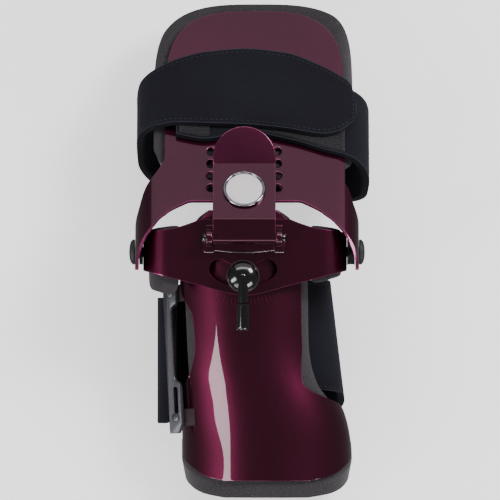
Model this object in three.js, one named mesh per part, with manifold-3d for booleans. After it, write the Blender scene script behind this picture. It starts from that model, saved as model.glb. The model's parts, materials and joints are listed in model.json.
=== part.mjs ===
// Rigid bowling wrist positioner: forearm shell, swivelling yoke, hand shell, cup lever and clamp.
// Millimetres, +Z up. It lies on its two straps, back of the hand up, fingers toward +Y.
import * as THREE from "three";
import { mergeVertices } from "three/addons/utils/BufferGeometryUtils.js";
import Module from "manifold-3d";

const wasm = await Module();
wasm.setup();

// Running clearance between pieces that touch on the real object
const GAP = 0.3;

// Clearance between a curved shell and the foam under it
const FOAM_GAP = 0.7;

// The two angles of the form, in degrees
const REST_TILT = 13;
const HAND_DROOP = 34.7;

// Depth of the floor below the forearm's crest, square to the floor
const FLOOR_DROP = 70;

// Sheet metal
const SHELL_WALL = 1.6;
const YOKE_WALL = 2;
const BRACKET_WALL = 1.5;
const LEVER_WALL = 1.5;

// Forearm shell and its foam
const FOREARM_FRONT = 20;
const FOREARM_LENGTH = 135.5;
const FOREARM_HALF_WIDTH = 42.5;
const FOREARM_DEPTH = 30;
const FOREARM_PAD_WALL = 4;
const FOREARM_PAD_PROUD = 8.5;

// Yoke plate
const YOKE_HALF_WIDTH = 51;
const YOKE_BEND = 13;
const YOKE_FRONT = 15.5;
const YOKE_REAR = 23;
const LUG_RADIUS = 9;
const WING_PAD_WALL = 3.5;
const WING_PAD_REAR_LEFT = 7;
const WING_PAD_REAR_RIGHT = 2.5;
const WING_PAD_FRONT = 1.5;

// Swivel of the yoke and its clamp
const SWIVEL_X = -1;
const SWIVEL_Y = 9;
const SLOT_RADIUS = 22.2;
const SLOT_SWEEP = 32.7;
const STUD_RADIUS = 2.6;
const SLOT_HALF_WIDTH = 4.9;
const SWIVEL_RIVET_RADIUS = 3;
const RIVET_HEAD = 1.2;
const SWIVEL_RIVET_HEAD = 0.8;
const SWIVEL_RIVET_HEAD_RADIUS = 4.2;

// Side pivots, where the hand shell tilts on the yoke
const PIVOT_Y = -1;
const PIVOT_Z = -28;
const PIVOT_PIN_RADIUS = 2.5;
const PIVOT_CAP_RADIUS = 6.4;
const PIVOT_CAP_HEIGHT = 2.6;
const SPACER_RADIUS = 6.5;

// Hand shell and its foam
const HAND_CREASE_Y = 24.5;
const HAND_CREASE_Z = -3.1;
const HAND_LENGTH = 117;
const HAND_LEFT = 55;
const HAND_RIGHT = 57;
const HAND_LEFT_EDGE = 40;
const HAND_RIGHT_EDGE = 50;
const HAND_BEND_LEFT = 14;
const HAND_BEND_RIGHT = 12;
const HAND_PAD_WALL = 4;
const HAND_PAD_PROUD = 7;
const HAND_PAD_PROUD_RIGHT = 10;
const HAND_PAD_PROUD_FRONT = 4.55;
const HAND_REAR_HALF = 28;
const HAND_SHOULDER = 26;
const HOLE_RADIUS = 2.1;
const HOLE_PITCH = 7.5;
const HOLE_PAIRS = 4;
const FIRST_HOLE = 8;
const HOLE_BESIDE = 0.8;

// Straps
const STRAP_WALL = 3;
const HAND_STRAP_LEFT = 54.5;
const HAND_STRAP_RIGHT = 62.5;
const HAND_STRAP_DEPTH = 50;
const HAND_STRAP_WIDTH = 46;
const HAND_STRAP_REAR = 44;
const WRIST_STRAP_WIDTH = 63;
const WRIST_STRAP_FRONT = 24;
const WRIST_STRAP_LEFT = 44;
const WRIST_STRAP_RIGHT = 47;
const WRIST_STRAP_FLARE = 7.5;
const WRIST_STRAP_TOP = -21;

// Strap bar. BAR_RIVETS: places along it, in shares of its length
const BAR_LENGTH = 78;
const BAR_WIDTH = 7.6;
const BAR_WALL = 2.5;
const BAR_FRONT = -14;
const BAR_BESIDE = 5.3;
const BAR_BELOW = 1.3;
const BAR_LEAN = 32;
const BAR_YAW = 2.9;
const BAR_RIVET_RADIUS = 1.6;
const BAR_RIVET_X = 0.3;
const BAR_LUG_REACH = 6;
const BAR_LUG_LENGTH = 8.6;
const BAR_RIVET_HEAD_RADIUS = 2.7;
const BAR_RIVETS = [0.1, 0.9];

// Cup lever and its hinge bracket
const LEVER_X = -0.4;
const LEVER_WIDTH = 31.5;
const LEVER_HINGE_Y = 6;
const LEVER_HINGE_Z = 8.6;
const LEVER_TOP_Z = 11.6;
const LEVER_FOLD_Y = 15.5;
const LEVER_PANEL = 34;
const LEVER_TAB = 18.5;
const LEVER_FLANGE = 6;
const LEVER_FLANGE_END = 3;
const LEVER_TAIL = 2.6;
const LEVER_PIN_RADIUS = 1.5;
const EAR_RADIUS = 4.4;
const EAR_WALL = 3;
const BRACKET_LENGTH = 13;
const PIN_HEAD_RADIUS = 2.6;
const PIN_HEAD = 1.8;
const BADGE_RADIUS = 10.7;
const BADGE_RIM_HEIGHT = 1.6;
// Share of the rim's height at which the badge's face starts to rise, and how far it rises
const BADGE_FACE_SIDE = 0.55;
const BADGE_CROWN = 0.5;
// Half the width that the thumb tab keeps at its tip
const TAB_TIP_HALF = 0.6;
// Width of the step between the hand plate's side edge and the shoulder
const CORNER_STEP = 0.6;
const BADGE_RIM_WIDTH = 1.5;
const BADGE_ALONG = 17.5;

// Clamp lever
const HUB_RADIUS = 7.8;
const HUB_HEIGHT = 10;
const WASHER_RADIUS = 8.2;
const WASHER_WALL = 1.5;
const ARM_RADIUS = 2.6;
const ARM_REACH = 13.8;
const GRIP_RADIUS = 3.25;
const GRIP_LENGTH = 13.5;

const rad = THREE.MathUtils.degToRad;
const clamp = THREE.MathUtils.clamp;
const v3 = (x, y, z) => new THREE.Vector3(x, y, z);

// Finishes
const finish = (color, roughness, metalness) => (
  new THREE.MeshStandardMaterial({ color, roughness, metalness }));
const burgundy = finish(0x4a0e2c, 0.18, 0.6);
const foam = finish(0x3a373a, 0.95, 0);
const webbing = finish(0x1c1c24, 0.9, 0);
const greyMetal = finish(0x6b6972, 0.4, 0.8);
const blackMetal = finish(0x18181b, 0.25, 0.4);
const steel = finish(0xb8b4b0, 0.3, 1);
const chrome = finish(0xe6e2e6, 0.08, 1);
const pearl = finish(0xdcd6da, 0.35, 0.1);

// Reads one column of a table at a place along it, smoothly and without overshoot
function column(rows, key, at) {
  const last = rows.length - 1;
  const p = clamp(at, rows[0].at, rows[last].at);
  let i = 0;
  while (i < last - 1 && p > rows[i + 1].at) i += 1;
  const slope = (j) => (rows[j + 1][key] - rows[j][key]) / (rows[j + 1].at - rows[j].at);
  const tangent = (j) => {
    if (j === 0 || j === last) return slope(Math.min(j, last - 1));
    const before = slope(j - 1);
    const after = slope(j);
    return before * after <= 0 ? 0 : (2 * before * after) / (before + after);
  };
  const span = rows[i + 1].at - rows[i].at;
  const t = (p - rows[i].at) / span;
  const u = 1 - t;
  const start = rows[i][key] * (1 + 2 * t) * u * u + tangent(i) * span * t * u * u;
  const end = rows[i + 1][key] * (3 - 2 * t) * t * t - tangent(i + 1) * span * u * t * t;
  return start + end;
}

// A closed plate from a surface: place(u, v) gives a point and its outward normal for u and v in 0..1
function plate(columns, rows, place, wall, settle = (p) => p) {
  const points = [];
  for (const depth of [0, wall]) {
    for (let j = 0; j <= rows; j += 1) {
      for (let i = 0; i <= columns; i += 1) {
        const { point, normal } = place(i / columns, j / rows);
        points.push(settle(point.clone().addScaledVector(normal, -depth), depth));
      }
    }
  }
  const index = [];
  const id = (i, j, side) => side * (columns + 1) * (rows + 1) + j * (columns + 1) + i;
  const quad = (a, b, c, d) => index.push(a, b, c, a, c, d);
  for (let j = 0; j < rows; j += 1) {
    for (let i = 0; i < columns; i += 1) {
      quad(id(i, j, 0), id(i + 1, j, 0), id(i + 1, j + 1, 0), id(i, j + 1, 0));
      quad(id(i, j, 1), id(i, j + 1, 1), id(i + 1, j + 1, 1), id(i + 1, j, 1));
    }
  }
  for (let i = 0; i < columns; i += 1) {
    quad(id(i, 0, 1), id(i + 1, 0, 1), id(i + 1, 0, 0), id(i, 0, 0));
    quad(id(i, rows, 0), id(i + 1, rows, 0), id(i + 1, rows, 1), id(i, rows, 1));
  }
  for (let j = 0; j < rows; j += 1) {
    quad(id(0, j, 0), id(0, j + 1, 0), id(0, j + 1, 1), id(0, j, 1));
    quad(id(columns, j, 1), id(columns, j + 1, 1), id(columns, j + 1, 0), id(columns, j, 0));
  }
  const geometry = new THREE.BufferGeometry();
  geometry.setAttribute("position", new THREE.Float32BufferAttribute(points.flatMap((p) => p.toArray()), 3));
  geometry.setIndex(index);
  return geometry;
}

// Joins and cuts
function solid(geometry) {
  const bare = geometry.clone();
  bare.deleteAttribute("normal");
  bare.deleteAttribute("uv");
  const merged = mergeVertices(bare, 1e-4);
  const vertProperties = new Float32Array(merged.attributes.position.array);
  const triVerts = new Uint32Array(merged.index.array);
  return new wasm.Manifold(new wasm.Mesh({ numProp: 3, vertProperties, triVerts }));
}

function geometryOf(body) {
  const mesh = body.getMesh();
  const geometry = new THREE.BufferGeometry();
  geometry.setAttribute("position", new THREE.Float32BufferAttribute(mesh.vertProperties, 3));
  geometry.setIndex(Array.from(mesh.triVerts));
  return geometry;
}

function cut(geometry, ...tools) {
  return geometryOf(tools.reduce((body, tool) => body.subtract(solid(tool)), solid(geometry)));
}

function join(geometry, ...others) {
  return geometryOf(others.reduce((body, other) => body.add(solid(other)), solid(geometry)));
}

// A round bar between two heights on a vertical axis
function bar(x, y, low, high, radius, sides = 18) {
  const geometry = new THREE.CylinderGeometry(radius, radius, high - low, sides);
  geometry.rotateX(Math.PI / 2);
  geometry.translate(x, y, (low + high) / 2);
  return geometry;
}

// A round bar along X
function crossBar(from, to, y, z, radius, sides = 18) {
  const geometry = new THREE.CylinderGeometry(radius, radius, to - from, sides);
  geometry.rotateZ(Math.PI / 2);
  geometry.translate((from + to) / 2, y, z);
  return geometry;
}

// The points of an outline without repeats, where its curves meet
function distinct(points) {
  return points.filter((p, i) => p.distanceTo(points[(i + 1) % points.length]) > 1e-3);
}

// A flat blank of a given outline, standing on z = low
function blank(outline, low, high, curveSegments = 12) {
  const shape = new THREE.Shape(distinct(outline.getPoints(curveSegments)));
  const geometry = new THREE.ExtrudeGeometry(shape, { depth: high - low, bevelEnabled: false });
  geometry.translate(0, 0, low);
  return geometry;
}

// The section of a sheet that is flat, turns down through a bend and then hangs straight
function folded(s, flat, radius) {
  const side = Math.sign(s) || 1;
  const past = Math.abs(s) - flat;
  const turn = clamp(past / radius, 0, Math.PI / 2);
  const straight = Math.max(past - (radius * Math.PI) / 2, 0);
  const x = side * (Math.min(Math.abs(s), flat) + radius * Math.sin(turn));
  const z = -radius * (1 - Math.cos(turn)) - straight;
  return { x, z, nx: side * Math.sin(turn), nz: Math.cos(turn) };
}

// The plane that the straps lie on, and its height at a place along the forearm
const FLOOR_UP = v3(0, Math.sin(rad(REST_TILT)), Math.cos(rad(REST_TILT)));
const floorAt = (y) => -(FLOOR_DROP + y * FLOOR_UP.y) / FLOOR_UP.z;

// Presses a strap flat where it lies on the floor. turn, shift: the frame that the strap is drawn in
function lieFlat(turn = 0, shift = v3(0, 0, 0)) {
  const across = v3(1, 0, 0);
  return (point, layer) => {
    const inDevice = point.clone().applyAxisAngle(across, turn).add(shift);
    const lift = layer - inDevice.dot(FLOOR_UP) - FLOOR_DROP;
    if (lift > 0) inDevice.addScaledVector(FLOOR_UP, lift);
    return inDevice.sub(shift).applyAxisAngle(across, -turn);
  };
}

// Forearm shell. at: share of the length from the front; centre, width: shares of the half width;
// depth: share of the depth; left, right: degrees round the arch
const FOREARM_TABLE = [
  { at: 0.0, centre: -0.02, width: 0.85, depth: 0.67, left: 26, right: 26 },
  { at: 0.02, centre: -0.02, width: 0.85, depth: 0.67, left: 33, right: 33 },
  { at: 0.09, centre: 0.0, width: 0.85, depth: 0.75, left: 46, right: 46 },
  { at: 0.2, centre: 0.01, width: 0.85, depth: 0.8, left: 62, right: 51 },
  { at: 0.28, centre: 0.02, width: 0.85, depth: 0.82, left: 68, right: 49.5 },
  { at: 0.4, centre: 0.035, width: 0.85, depth: 0.84, left: 50, right: 48 },
  { at: 0.5, centre: 0.05, width: 0.85, depth: 0.86, left: 49, right: 47 },
  { at: 0.59, centre: 0.09, width: 0.87, depth: 0.88, left: 57, right: 41 },
  { at: 0.64, centre: 0.13, width: 0.89, depth: 0.9, left: 69, right: 38 },
  { at: 0.665, centre: 0.155, width: 0.91, depth: 0.91, left: 84, right: 42 },
  { at: 0.69, centre: 0.175, width: 0.93, depth: 0.92, left: 96, right: 55 },
  { at: 0.73, centre: 0.2, width: 0.955, depth: 0.94, left: 98, right: 84 },
  { at: 0.8, centre: 0.24, width: 0.985, depth: 0.97, left: 98, right: 98 },
  { at: 0.89, centre: 0.26, width: 1.0, depth: 1.0, left: 90, right: 92 },
  { at: 0.95, centre: 0.26, width: 1.0, depth: 1.0, left: 62, right: 66 },
  { at: 0.985, centre: 0.26, width: 1.0, depth: 1.0, left: 45, right: 46 },
  { at: 1.0, centre: 0.26, width: 1.0, depth: 1.0, left: 30, right: 28 },
];

// Its foam, which runs past the shell. at: share of its own length from the front; left, right: degrees
const PAD_TABLE = [
  { at: 0.0, left: 30, right: 30 },
  { at: 0.03, left: 42, right: 42 },
  { at: 0.12, left: 60, right: 58 },
  { at: 0.25, left: 66, right: 64 },
  { at: 0.4, left: 66, right: 62 },
  { at: 0.6, left: 68, right: 58 },
  { at: 0.68, left: 92, right: 70 },
  { at: 0.78, left: 98, right: 98 },
  { at: 0.88, left: 94, right: 96 },
  { at: 0.95, left: 70, right: 72 },
  { at: 0.985, left: 50, right: 50 },
  { at: 1.0, left: 32, right: 30 },
];

// A point of the forearm's arch: along is in mm behind the front, turn in degrees, inset in mm below
// the surface
function forearmAt(along, turn, inset) {
  const at = along / FOREARM_LENGTH;
  const centre = column(FOREARM_TABLE, "centre", at) * FOREARM_HALF_WIDTH;
  const width = column(FOREARM_TABLE, "width", at) * FOREARM_HALF_WIDTH;
  const depth = column(FOREARM_TABLE, "depth", at) * FOREARM_DEPTH;
  const angle = rad(clamp(turn, -90, 90));
  const past = rad(Math.abs(turn) - Math.abs(clamp(turn, -90, 90))) * depth;
  const normal = v3(Math.sin(angle) / width, 0, Math.cos(angle) / depth).normalize();
  const x = centre + width * Math.sin(angle);
  const z = -depth * (1 - Math.cos(angle)) - past;
  return { point: v3(x, FOREARM_FRONT - along, z).addScaledVector(normal, -inset), normal };
}

// The rows of a table and the places half way between them
function rowPlaces(rows) {
  return rows.flatMap(({ at }, i) => (i ? [(rows[i - 1].at + at) / 2, at] : [at]));
}

// A plate that follows the forearm's arch between the edges of a table, over a length
function forearmPlate(table, columns, length, inset, wall) {
  const places = rowPlaces(table);
  const last = places.length - 1;
  const place = (u, v) => {
    const at = places[Math.round(v * last)];
    const turn = THREE.MathUtils.lerp(column(table, "right", at), -column(table, "left", at), u);
    return forearmAt(at * length, turn, inset);
  };
  return plate(columns, last, place, wall);
}

function forearmShell() {
  const arch = forearmPlate(FOREARM_TABLE, 14, FOREARM_LENGTH, 0, SHELL_WALL);
  const swivelHole = bar(SWIVEL_X, SWIVEL_Y, -5, 5, SWIVEL_RIVET_RADIUS + GAP);
  const studHole = bar(SWIVEL_X, SWIVEL_Y - SLOT_RADIUS, -5, 5, STUD_RADIUS + GAP);
  return cut(join(arch, ...barLugs()), swivelHole, studHole);
}

function forearmPad() {
  const inset = SHELL_WALL + FOAM_GAP;
  const liner = forearmPlate(PAD_TABLE, 11, FOREARM_LENGTH + FOREARM_PAD_PROUD, inset, FOREARM_PAD_WALL);
  return cut(liner, ...barLugs(GAP));
}

// Places a piece in the plane of the strap bar, which starts beside the shell's left edge
function onBar(geometry) {
  const along = FOREARM_FRONT - BAR_FRONT;
  const edge = forearmAt(along, -column(FOREARM_TABLE, "left", along / FOREARM_LENGTH), 0).point;
  geometry.rotateY(rad(-BAR_LEAN));
  geometry.rotateZ(rad(BAR_YAW));
  geometry.translate(edge.x - BAR_BESIDE, BAR_FRONT, edge.z - BAR_BELOW);
  return geometry;
}

// Tabs of the shell that carry the bar, just under its ends. room: how much larger they are made all round
function barLugs(room = 0) {
  return BAR_RIVETS.map((share) => {
    const width = BAR_WIDTH + BAR_LUG_REACH;
    const size = [width, BAR_LUG_LENGTH, SHELL_WALL].map((side) => side + 2 * room);
    const geometry = new THREE.BoxGeometry(...size);
    geometry.translate(BAR_LUG_REACH / 2, -BAR_LENGTH * share, -BAR_WALL / 2 - GAP - SHELL_WALL / 2);
    return onBar(geometry);
  });
}

function strapBar() {
  const half = BAR_WIDTH / 2;
  const recess = half * 0.1;
  const shape = new THREE.Shape();
  shape.moveTo(-half, 0);
  shape.lineTo(-half * 0.35, 0);
  shape.lineTo(-half * 0.1, -BAR_WIDTH * 0.18);
  shape.lineTo(half * 0.2, 0);
  shape.lineTo(half, -BAR_WIDTH * 0.1);
  shape.lineTo(half, -BAR_LENGTH * 0.14);
  shape.bezierCurveTo(half, -BAR_LENGTH * 0.2, recess, -BAR_LENGTH * 0.16, recess, -BAR_LENGTH * 0.22);
  shape.lineTo(recess, -BAR_LENGTH * 0.62);
  shape.bezierCurveTo(recess, -BAR_LENGTH * 0.69, half, -BAR_LENGTH * 0.64, half, -BAR_LENGTH * 0.72);
  shape.lineTo(half, -BAR_LENGTH * 0.94);
  shape.lineTo(half * 0.4, -BAR_LENGTH);
  shape.lineTo(-half, -BAR_LENGTH);
  const holes = BAR_RIVETS.map((share) => {
    return bar(BAR_RIVET_X, -BAR_LENGTH * share, -BAR_WALL, BAR_WALL, BAR_RIVET_RADIUS + GAP);
  });
  return onBar(cut(blank(shape, -BAR_WALL / 2, BAR_WALL / 2, 8), ...holes));
}

// A rivet with a domed head on the bar, its shank flush in the bar
function barRivet(share) {
  const top = BAR_WALL / 2 + GAP;
  const profile = [new THREE.Vector2(0, -BAR_WALL / 2)];
  profile.push(new THREE.Vector2(BAR_RIVET_RADIUS, -BAR_WALL / 2));
  profile.push(new THREE.Vector2(BAR_RIVET_RADIUS, top));
  for (let i = 0; i <= 4; i += 1) {
    const turn = (i / 4) * (Math.PI / 2);
    const radius = i === 4 ? 0 : BAR_RIVET_HEAD_RADIUS * Math.cos(turn);
    profile.push(new THREE.Vector2(radius, top + RIVET_HEAD * Math.sin(turn)));
  }
  const geometry = new THREE.LatheGeometry(profile, 12);
  geometry.rotateX(Math.PI / 2);
  geometry.translate(BAR_RIVET_X, -BAR_LENGTH * share, 0);
  return onBar(geometry);
}

// Yoke plate and hand shell

// A row of columns across a sheet, as lengths from its middle, with a number of steps in each stretch
function stretches(...list) {
  const columns = [list[0].from];
  for (const { from, to, steps, curve } of list) {
    if (from !== columns[columns.length - 1]) columns.push(from);
    for (let i = 1; i <= steps; i += 1) {
      const t = i / steps;
      const share = curve ? (1 - Math.cos(t * Math.PI)) / 2 : t;
      columns.push(THREE.MathUtils.lerp(from, to, share));
    }
  }
  return columns;
}

// Yoke. at: share of the way from its middle to the end of the bend; front, rear: how far each edge has
// moved from the middle of the plate toward the lug
const YOKE_TABLE = [
  { at: 0.0, front: 0.0, rear: 0.0 },
  { at: 0.1, front: 0.0, rear: 0.06 },
  { at: 0.28, front: 0.0, rear: 0.27 },
  { at: 0.37, front: 0.0, rear: 0.39 },
  { at: 0.45, front: 0.22, rear: 0.48 },
  { at: 0.62, front: 0.62, rear: 0.68 },
  { at: 0.8, front: 0.8, rear: 0.88 },
  { at: 1.0, front: 1.0, rear: 1.0 },
];

// The edges of the yoke at a length from its middle, in the forearm's frame
function yokeEdges(s, flat, bendEnd) {
  const lugFront = PIVOT_Y + LUG_RADIUS;
  const lugRear = PIVOT_Y - LUG_RADIUS;
  if (s > bendEnd) {
    const z = folded(s, flat, YOKE_BEND).z + GAP + YOKE_WALL;
    const below = clamp((PIVOT_Z - z) / LUG_RADIUS, 0, 1);
    const half = LUG_RADIUS * Math.sqrt(1 - below * below);
    return { front: PIVOT_Y + half, rear: PIVOT_Y - half };
  }
  const front = THREE.MathUtils.lerp(YOKE_FRONT, lugFront, column(YOKE_TABLE, "front", s / bendEnd));
  const rear = THREE.MathUtils.lerp(-YOKE_REAR, lugRear, column(YOKE_TABLE, "rear", s / bendEnd));
  return { front, rear };
}

function yokePlate() {
  const flat = YOKE_HALF_WIDTH - YOKE_BEND;
  const bendEnd = flat + (YOKE_BEND * Math.PI) / 2;
  const top = GAP + YOKE_WALL;
  const pivot = bendEnd + (-YOKE_BEND - PIVOT_Z + top);
  const tip = pivot + LUG_RADIUS * 0.995;
  const half = stretches(
    { from: 0, to: flat, steps: 7 },
    { from: flat, to: bendEnd, steps: 5 },
    { from: bendEnd, to: pivot, steps: 1 },
    { from: pivot, to: tip, steps: 5, curve: true },
  );
  const columns = [...half.slice(1).reverse().map((s) => -s), ...half];
  const place = (u, v) => {
    const s = columns[Math.round(u * (columns.length - 1))];
    const at = folded(s, flat, YOKE_BEND);
    const { front, rear } = yokeEdges(Math.abs(s), flat, bendEnd);
    const y = THREE.MathUtils.lerp(rear, front, v);
    return { point: v3(at.x, y, at.z + top), normal: v3(at.nx, 0, at.nz) };
  };
  const slot = new THREE.Shape();
  const sweep = rad(SLOT_SWEEP);
  const down = -Math.PI / 2;
  const inner = SLOT_RADIUS - SLOT_HALF_WIDTH;
  const outer = SLOT_RADIUS + SLOT_HALF_WIDTH;
  const end = (turn) => ({ x: SLOT_RADIUS * Math.cos(down + turn), y: SLOT_RADIUS * Math.sin(down + turn) });
  slot.absarc(0, 0, outer, down - sweep, down + sweep, false);
  slot.absarc(end(sweep).x, end(sweep).y, SLOT_HALF_WIDTH, down + sweep, down + sweep + Math.PI, false);
  slot.absarc(0, 0, inner, down + sweep, down - sweep, true);
  slot.absarc(end(-sweep).x, end(-sweep).y, SLOT_HALF_WIDTH, down - sweep + Math.PI, down - sweep, false);
  const slotTool = blank(slot, -1, top + 1, 10);
  slotTool.translate(SWIVEL_X, SWIVEL_Y, 0);
  const width = YOKE_HALF_WIDTH + 5;
  const pivotHole = crossBar(-width, width, PIVOT_Y, PIVOT_Z, PIVOT_PIN_RADIUS + GAP);
  const swivelHole = bar(SWIVEL_X, SWIVEL_Y, -1, top + 1, SWIVEL_RIVET_RADIUS + GAP);
  return cut(plate(columns.length - 1, 3, place, YOKE_WALL), slotTool, pivotHole, swivelHole);
}

// Where the foam under an end of the yoke starts and ends: shares of the flat part, and of the way past
// the bend
const WING_PAD_SPAN = [0.87, 0.97];

// Foam under each end of the yoke, proud of it toward the forearm. side: -1 left, 1 right
function wingPad(side) {
  const flat = YOKE_HALF_WIDTH - YOKE_BEND;
  const bendEnd = flat + (YOKE_BEND * Math.PI) / 2;
  const proud = side < 0 ? WING_PAD_REAR_LEFT : WING_PAD_REAR_RIGHT;
  const place = (u, v) => {
    const s = THREE.MathUtils.lerp(flat * WING_PAD_SPAN[0], bendEnd * WING_PAD_SPAN[1], side < 0 ? 1 - u : u);
    const at = folded(side * s, flat, YOKE_BEND);
    const { front, rear } = yokeEdges(s, flat, bendEnd);
    const round = Math.sqrt(1 - (2 * u - 1) ** 4);
    const y = THREE.MathUtils.lerp(rear - proud * round, front + WING_PAD_FRONT * round, v);
    const normal = v3(at.nx, 0, at.nz);
    const outer = v3(at.x, y, at.z + GAP + YOKE_WALL);
    return { point: outer.addScaledVector(normal, -YOKE_WALL - FOAM_GAP), normal };
  };
  return plate(10, 3, place, WING_PAD_WALL);
}

// Shoulder of the hand shell. at: share of the way from the plate's middle part to the end of the bend;
// low, high: how far each edge has moved toward the lug
const SHOULDER_TABLE = [
  { at: 0.0, low: 0.0, high: 0.0 },
  { at: 0.27, low: 0.17, high: 0.0 },
  { at: 0.35, low: 0.25, high: 0.0 },
  { at: 0.4, low: 0.29, high: 0.14 },
  { at: 0.51, low: 0.42, high: 0.3 },
  { at: 0.66, low: 0.58, high: 0.5 },
  { at: 0.8, low: 0.74, high: 0.8 },
  { at: 1.0, low: 1.0, high: 1.0 },
];

// The side pivot in the hand's frame, where y runs along the plate and z is square to it
const droop = rad(HAND_DROOP);
const pivotBack = v3(0, PIVOT_Y - HAND_CREASE_Y, PIVOT_Z - HAND_CREASE_Z).applyAxisAngle(v3(1, 0, 0), droop);

// The edges of a lug at a height in the hand's frame: it stands upright on the forearm and ends in a
// half circle
function lugEdges(z) {
  const middle = pivotBack.y - (z - pivotBack.z) * Math.tan(droop);
  const half = LUG_RADIUS / Math.cos(droop);
  const cap = Math.sqrt(Math.max(LUG_RADIUS ** 2 - (z - pivotBack.z) ** 2, 0));
  const level = pivotBack.y + (z - pivotBack.z) / Math.tan(droop);
  const high = Math.max(Math.min(middle + half, level), pivotBack.y + cap);
  const low = middle - half < level ? Math.min(middle - half, pivotBack.y - cap) : pivotBack.y - cap;
  return { low, high };
}

// Round front of the hand plate: where its corners start, in shares of its length, and how square they are
const FRONT_CORNER = 0.52;
const FRONT_POWER = 3.2;

function frontAt(share) {
  return FRONT_CORNER + (1 - FRONT_CORNER) * (1 - share ** FRONT_POWER) ** (1 / FRONT_POWER);
}

// The front of the hand plate at a place across it
function handFront(s) {
  const middle = (HAND_RIGHT_EDGE - HAND_LEFT_EDGE) / 2;
  const half = (HAND_RIGHT_EDGE + HAND_LEFT_EDGE) / 2;
  const share = clamp(Math.abs(s - middle) / half, 0, 1);
  return HAND_LENGTH * frontAt(share);
}

function handBend(side) {
  const width = side < 0 ? HAND_LEFT : HAND_RIGHT;
  const bend = side < 0 ? HAND_BEND_LEFT : HAND_BEND_RIGHT;
  const edge = side < 0 ? HAND_LEFT_EDGE : HAND_RIGHT_EDGE;
  const flat = width - bend;
  const bendEnd = flat + (bend * Math.PI) / 2;
  const pivot = bendEnd - bend - pivotBack.z;
  return { bend, edge, flat, bendEnd, pivot, tip: pivot + LUG_RADIUS * 0.995 };
}

// A point of the hand shell: s is the length from its middle, y along it, inset below its surface
function handAt(s, y, inset) {
  const { flat, bend } = handBend(Math.sign(s) || 1);
  const at = folded(s, flat, bend);
  const normal = v3(at.nx, 0, at.nz);
  return { point: v3(at.x, y, at.z).addScaledVector(normal, -inset), normal };
}

function handEdges(s) {
  const side = Math.sign(s) || 1;
  const { edge, flat, bend, bendEnd } = handBend(side);
  const length = Math.abs(s);
  if (length > bendEnd) return lugEdges(folded(s, flat, bend).z);
  const lug = lugEdges(-bend);
  const at = (length - HAND_REAR_HALF) / (bendEnd - HAND_REAR_HALF);
  const low = column(SHOULDER_TABLE, "low", at) * lug.low;
  if (length <= edge) return { low, high: handFront(s) };
  return { low, high: THREE.MathUtils.lerp(HAND_SHOULDER, lug.high, column(SHOULDER_TABLE, "high", at)) };
}

function handShell() {
  const sideColumns = (side) => {
    const { edge, bendEnd, pivot, tip } = handBend(side);
    const corner = edge + CORNER_STEP;
    return stretches(
      { from: 0, to: edge * 0.8, steps: 4 },
      { from: edge * 0.8, to: edge, steps: 5 },
      { from: corner, to: bendEnd, steps: 6 },
      { from: bendEnd, to: pivot, steps: 2 },
      { from: pivot, to: tip, steps: 5, curve: true },
    );
  };
  const columns = [...sideColumns(-1).slice(1).reverse().map((s) => -s), ...sideColumns(1)];
  const place = (u, v) => {
    const s = columns[Math.round(u * (columns.length - 1))];
    const { low, high } = handEdges(s);
    return handAt(s, THREE.MathUtils.lerp(low, high, v), 0);
  };
  const tools = [];
  for (let i = 0; i < HOLE_PAIRS; i += 1) {
    for (const side of [-1, 1]) {
      const x = LEVER_X + side * (LEVER_WIDTH / 2 + HOLE_BESIDE);
      tools.push(bar(x, FIRST_HOLE + i * HOLE_PITCH, -4, 4, HOLE_RADIUS, 16));
    }
  }
  const width = HAND_RIGHT + 5;
  tools.push(crossBar(-width, width, pivotBack.y, pivotBack.z, PIVOT_PIN_RADIUS + GAP));
  return cut(plate(columns.length - 1, 4, place, SHELL_WALL), ...tools);
}

// Rear edge of the hand's foam. at: share of the way from its middle to its side; rear: share of the
// shoulder's place
const HAND_PAD_REAR = [
  { at: 0.0, rear: 0.7 },
  { at: 0.5, rear: 0.72 },
  { at: 0.8, rear: 0.82 },
  { at: 0.93, rear: 1.0 },
  { at: 1.0, rear: 1.3 },
];

function handPad() {
  const left = HAND_LEFT_EDGE + HAND_PAD_PROUD;
  const right = HAND_RIGHT_EDGE + HAND_PAD_PROUD_RIGHT;
  const middle = (right - left) / 2;
  const half = (right + left) / 2;
  const front = HAND_LENGTH + HAND_PAD_PROUD_FRONT;
  const place = (u, v) => {
    const share = -Math.cos(u * Math.PI);
    const high = front * frontAt(Math.abs(share));
    const low = HAND_SHOULDER * column(HAND_PAD_REAR, "rear", Math.abs(share));
    return handAt(middle + half * share, THREE.MathUtils.lerp(low, high, v), SHELL_WALL + FOAM_GAP);
  };
  return plate(18, 3, place, HAND_PAD_WALL);
}

// Adds to each row of a strap's table its place along the strap, from 0 to 1
function measured(rows) {
  let length = 0;
  const places = rows.map((row, i) => {
    if (i > 0) length += Math.hypot(row.x - rows[i - 1].x, row.z - rows[i - 1].z);
    return length;
  });
  return rows.map((row, i) => ({ ...row, at: places[i] / length }));
}

// A strap along a path across the hand or wrist. spot(t, u) is a point of its outer face, u runs from
// edge to edge
function strap(steps, spot, settle) {
  const place = (u, v) => {
    const step = 2e-3;
    const tangent = spot(Math.min(v + step, 1), u).sub(spot(Math.max(v - step, 0), u));
    return { point: spot(v, u), normal: v3(tangent.z, 0, -tangent.x).normalize() };
  };
  return plate(2, steps, place, STRAP_WALL, settle);
}

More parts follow.
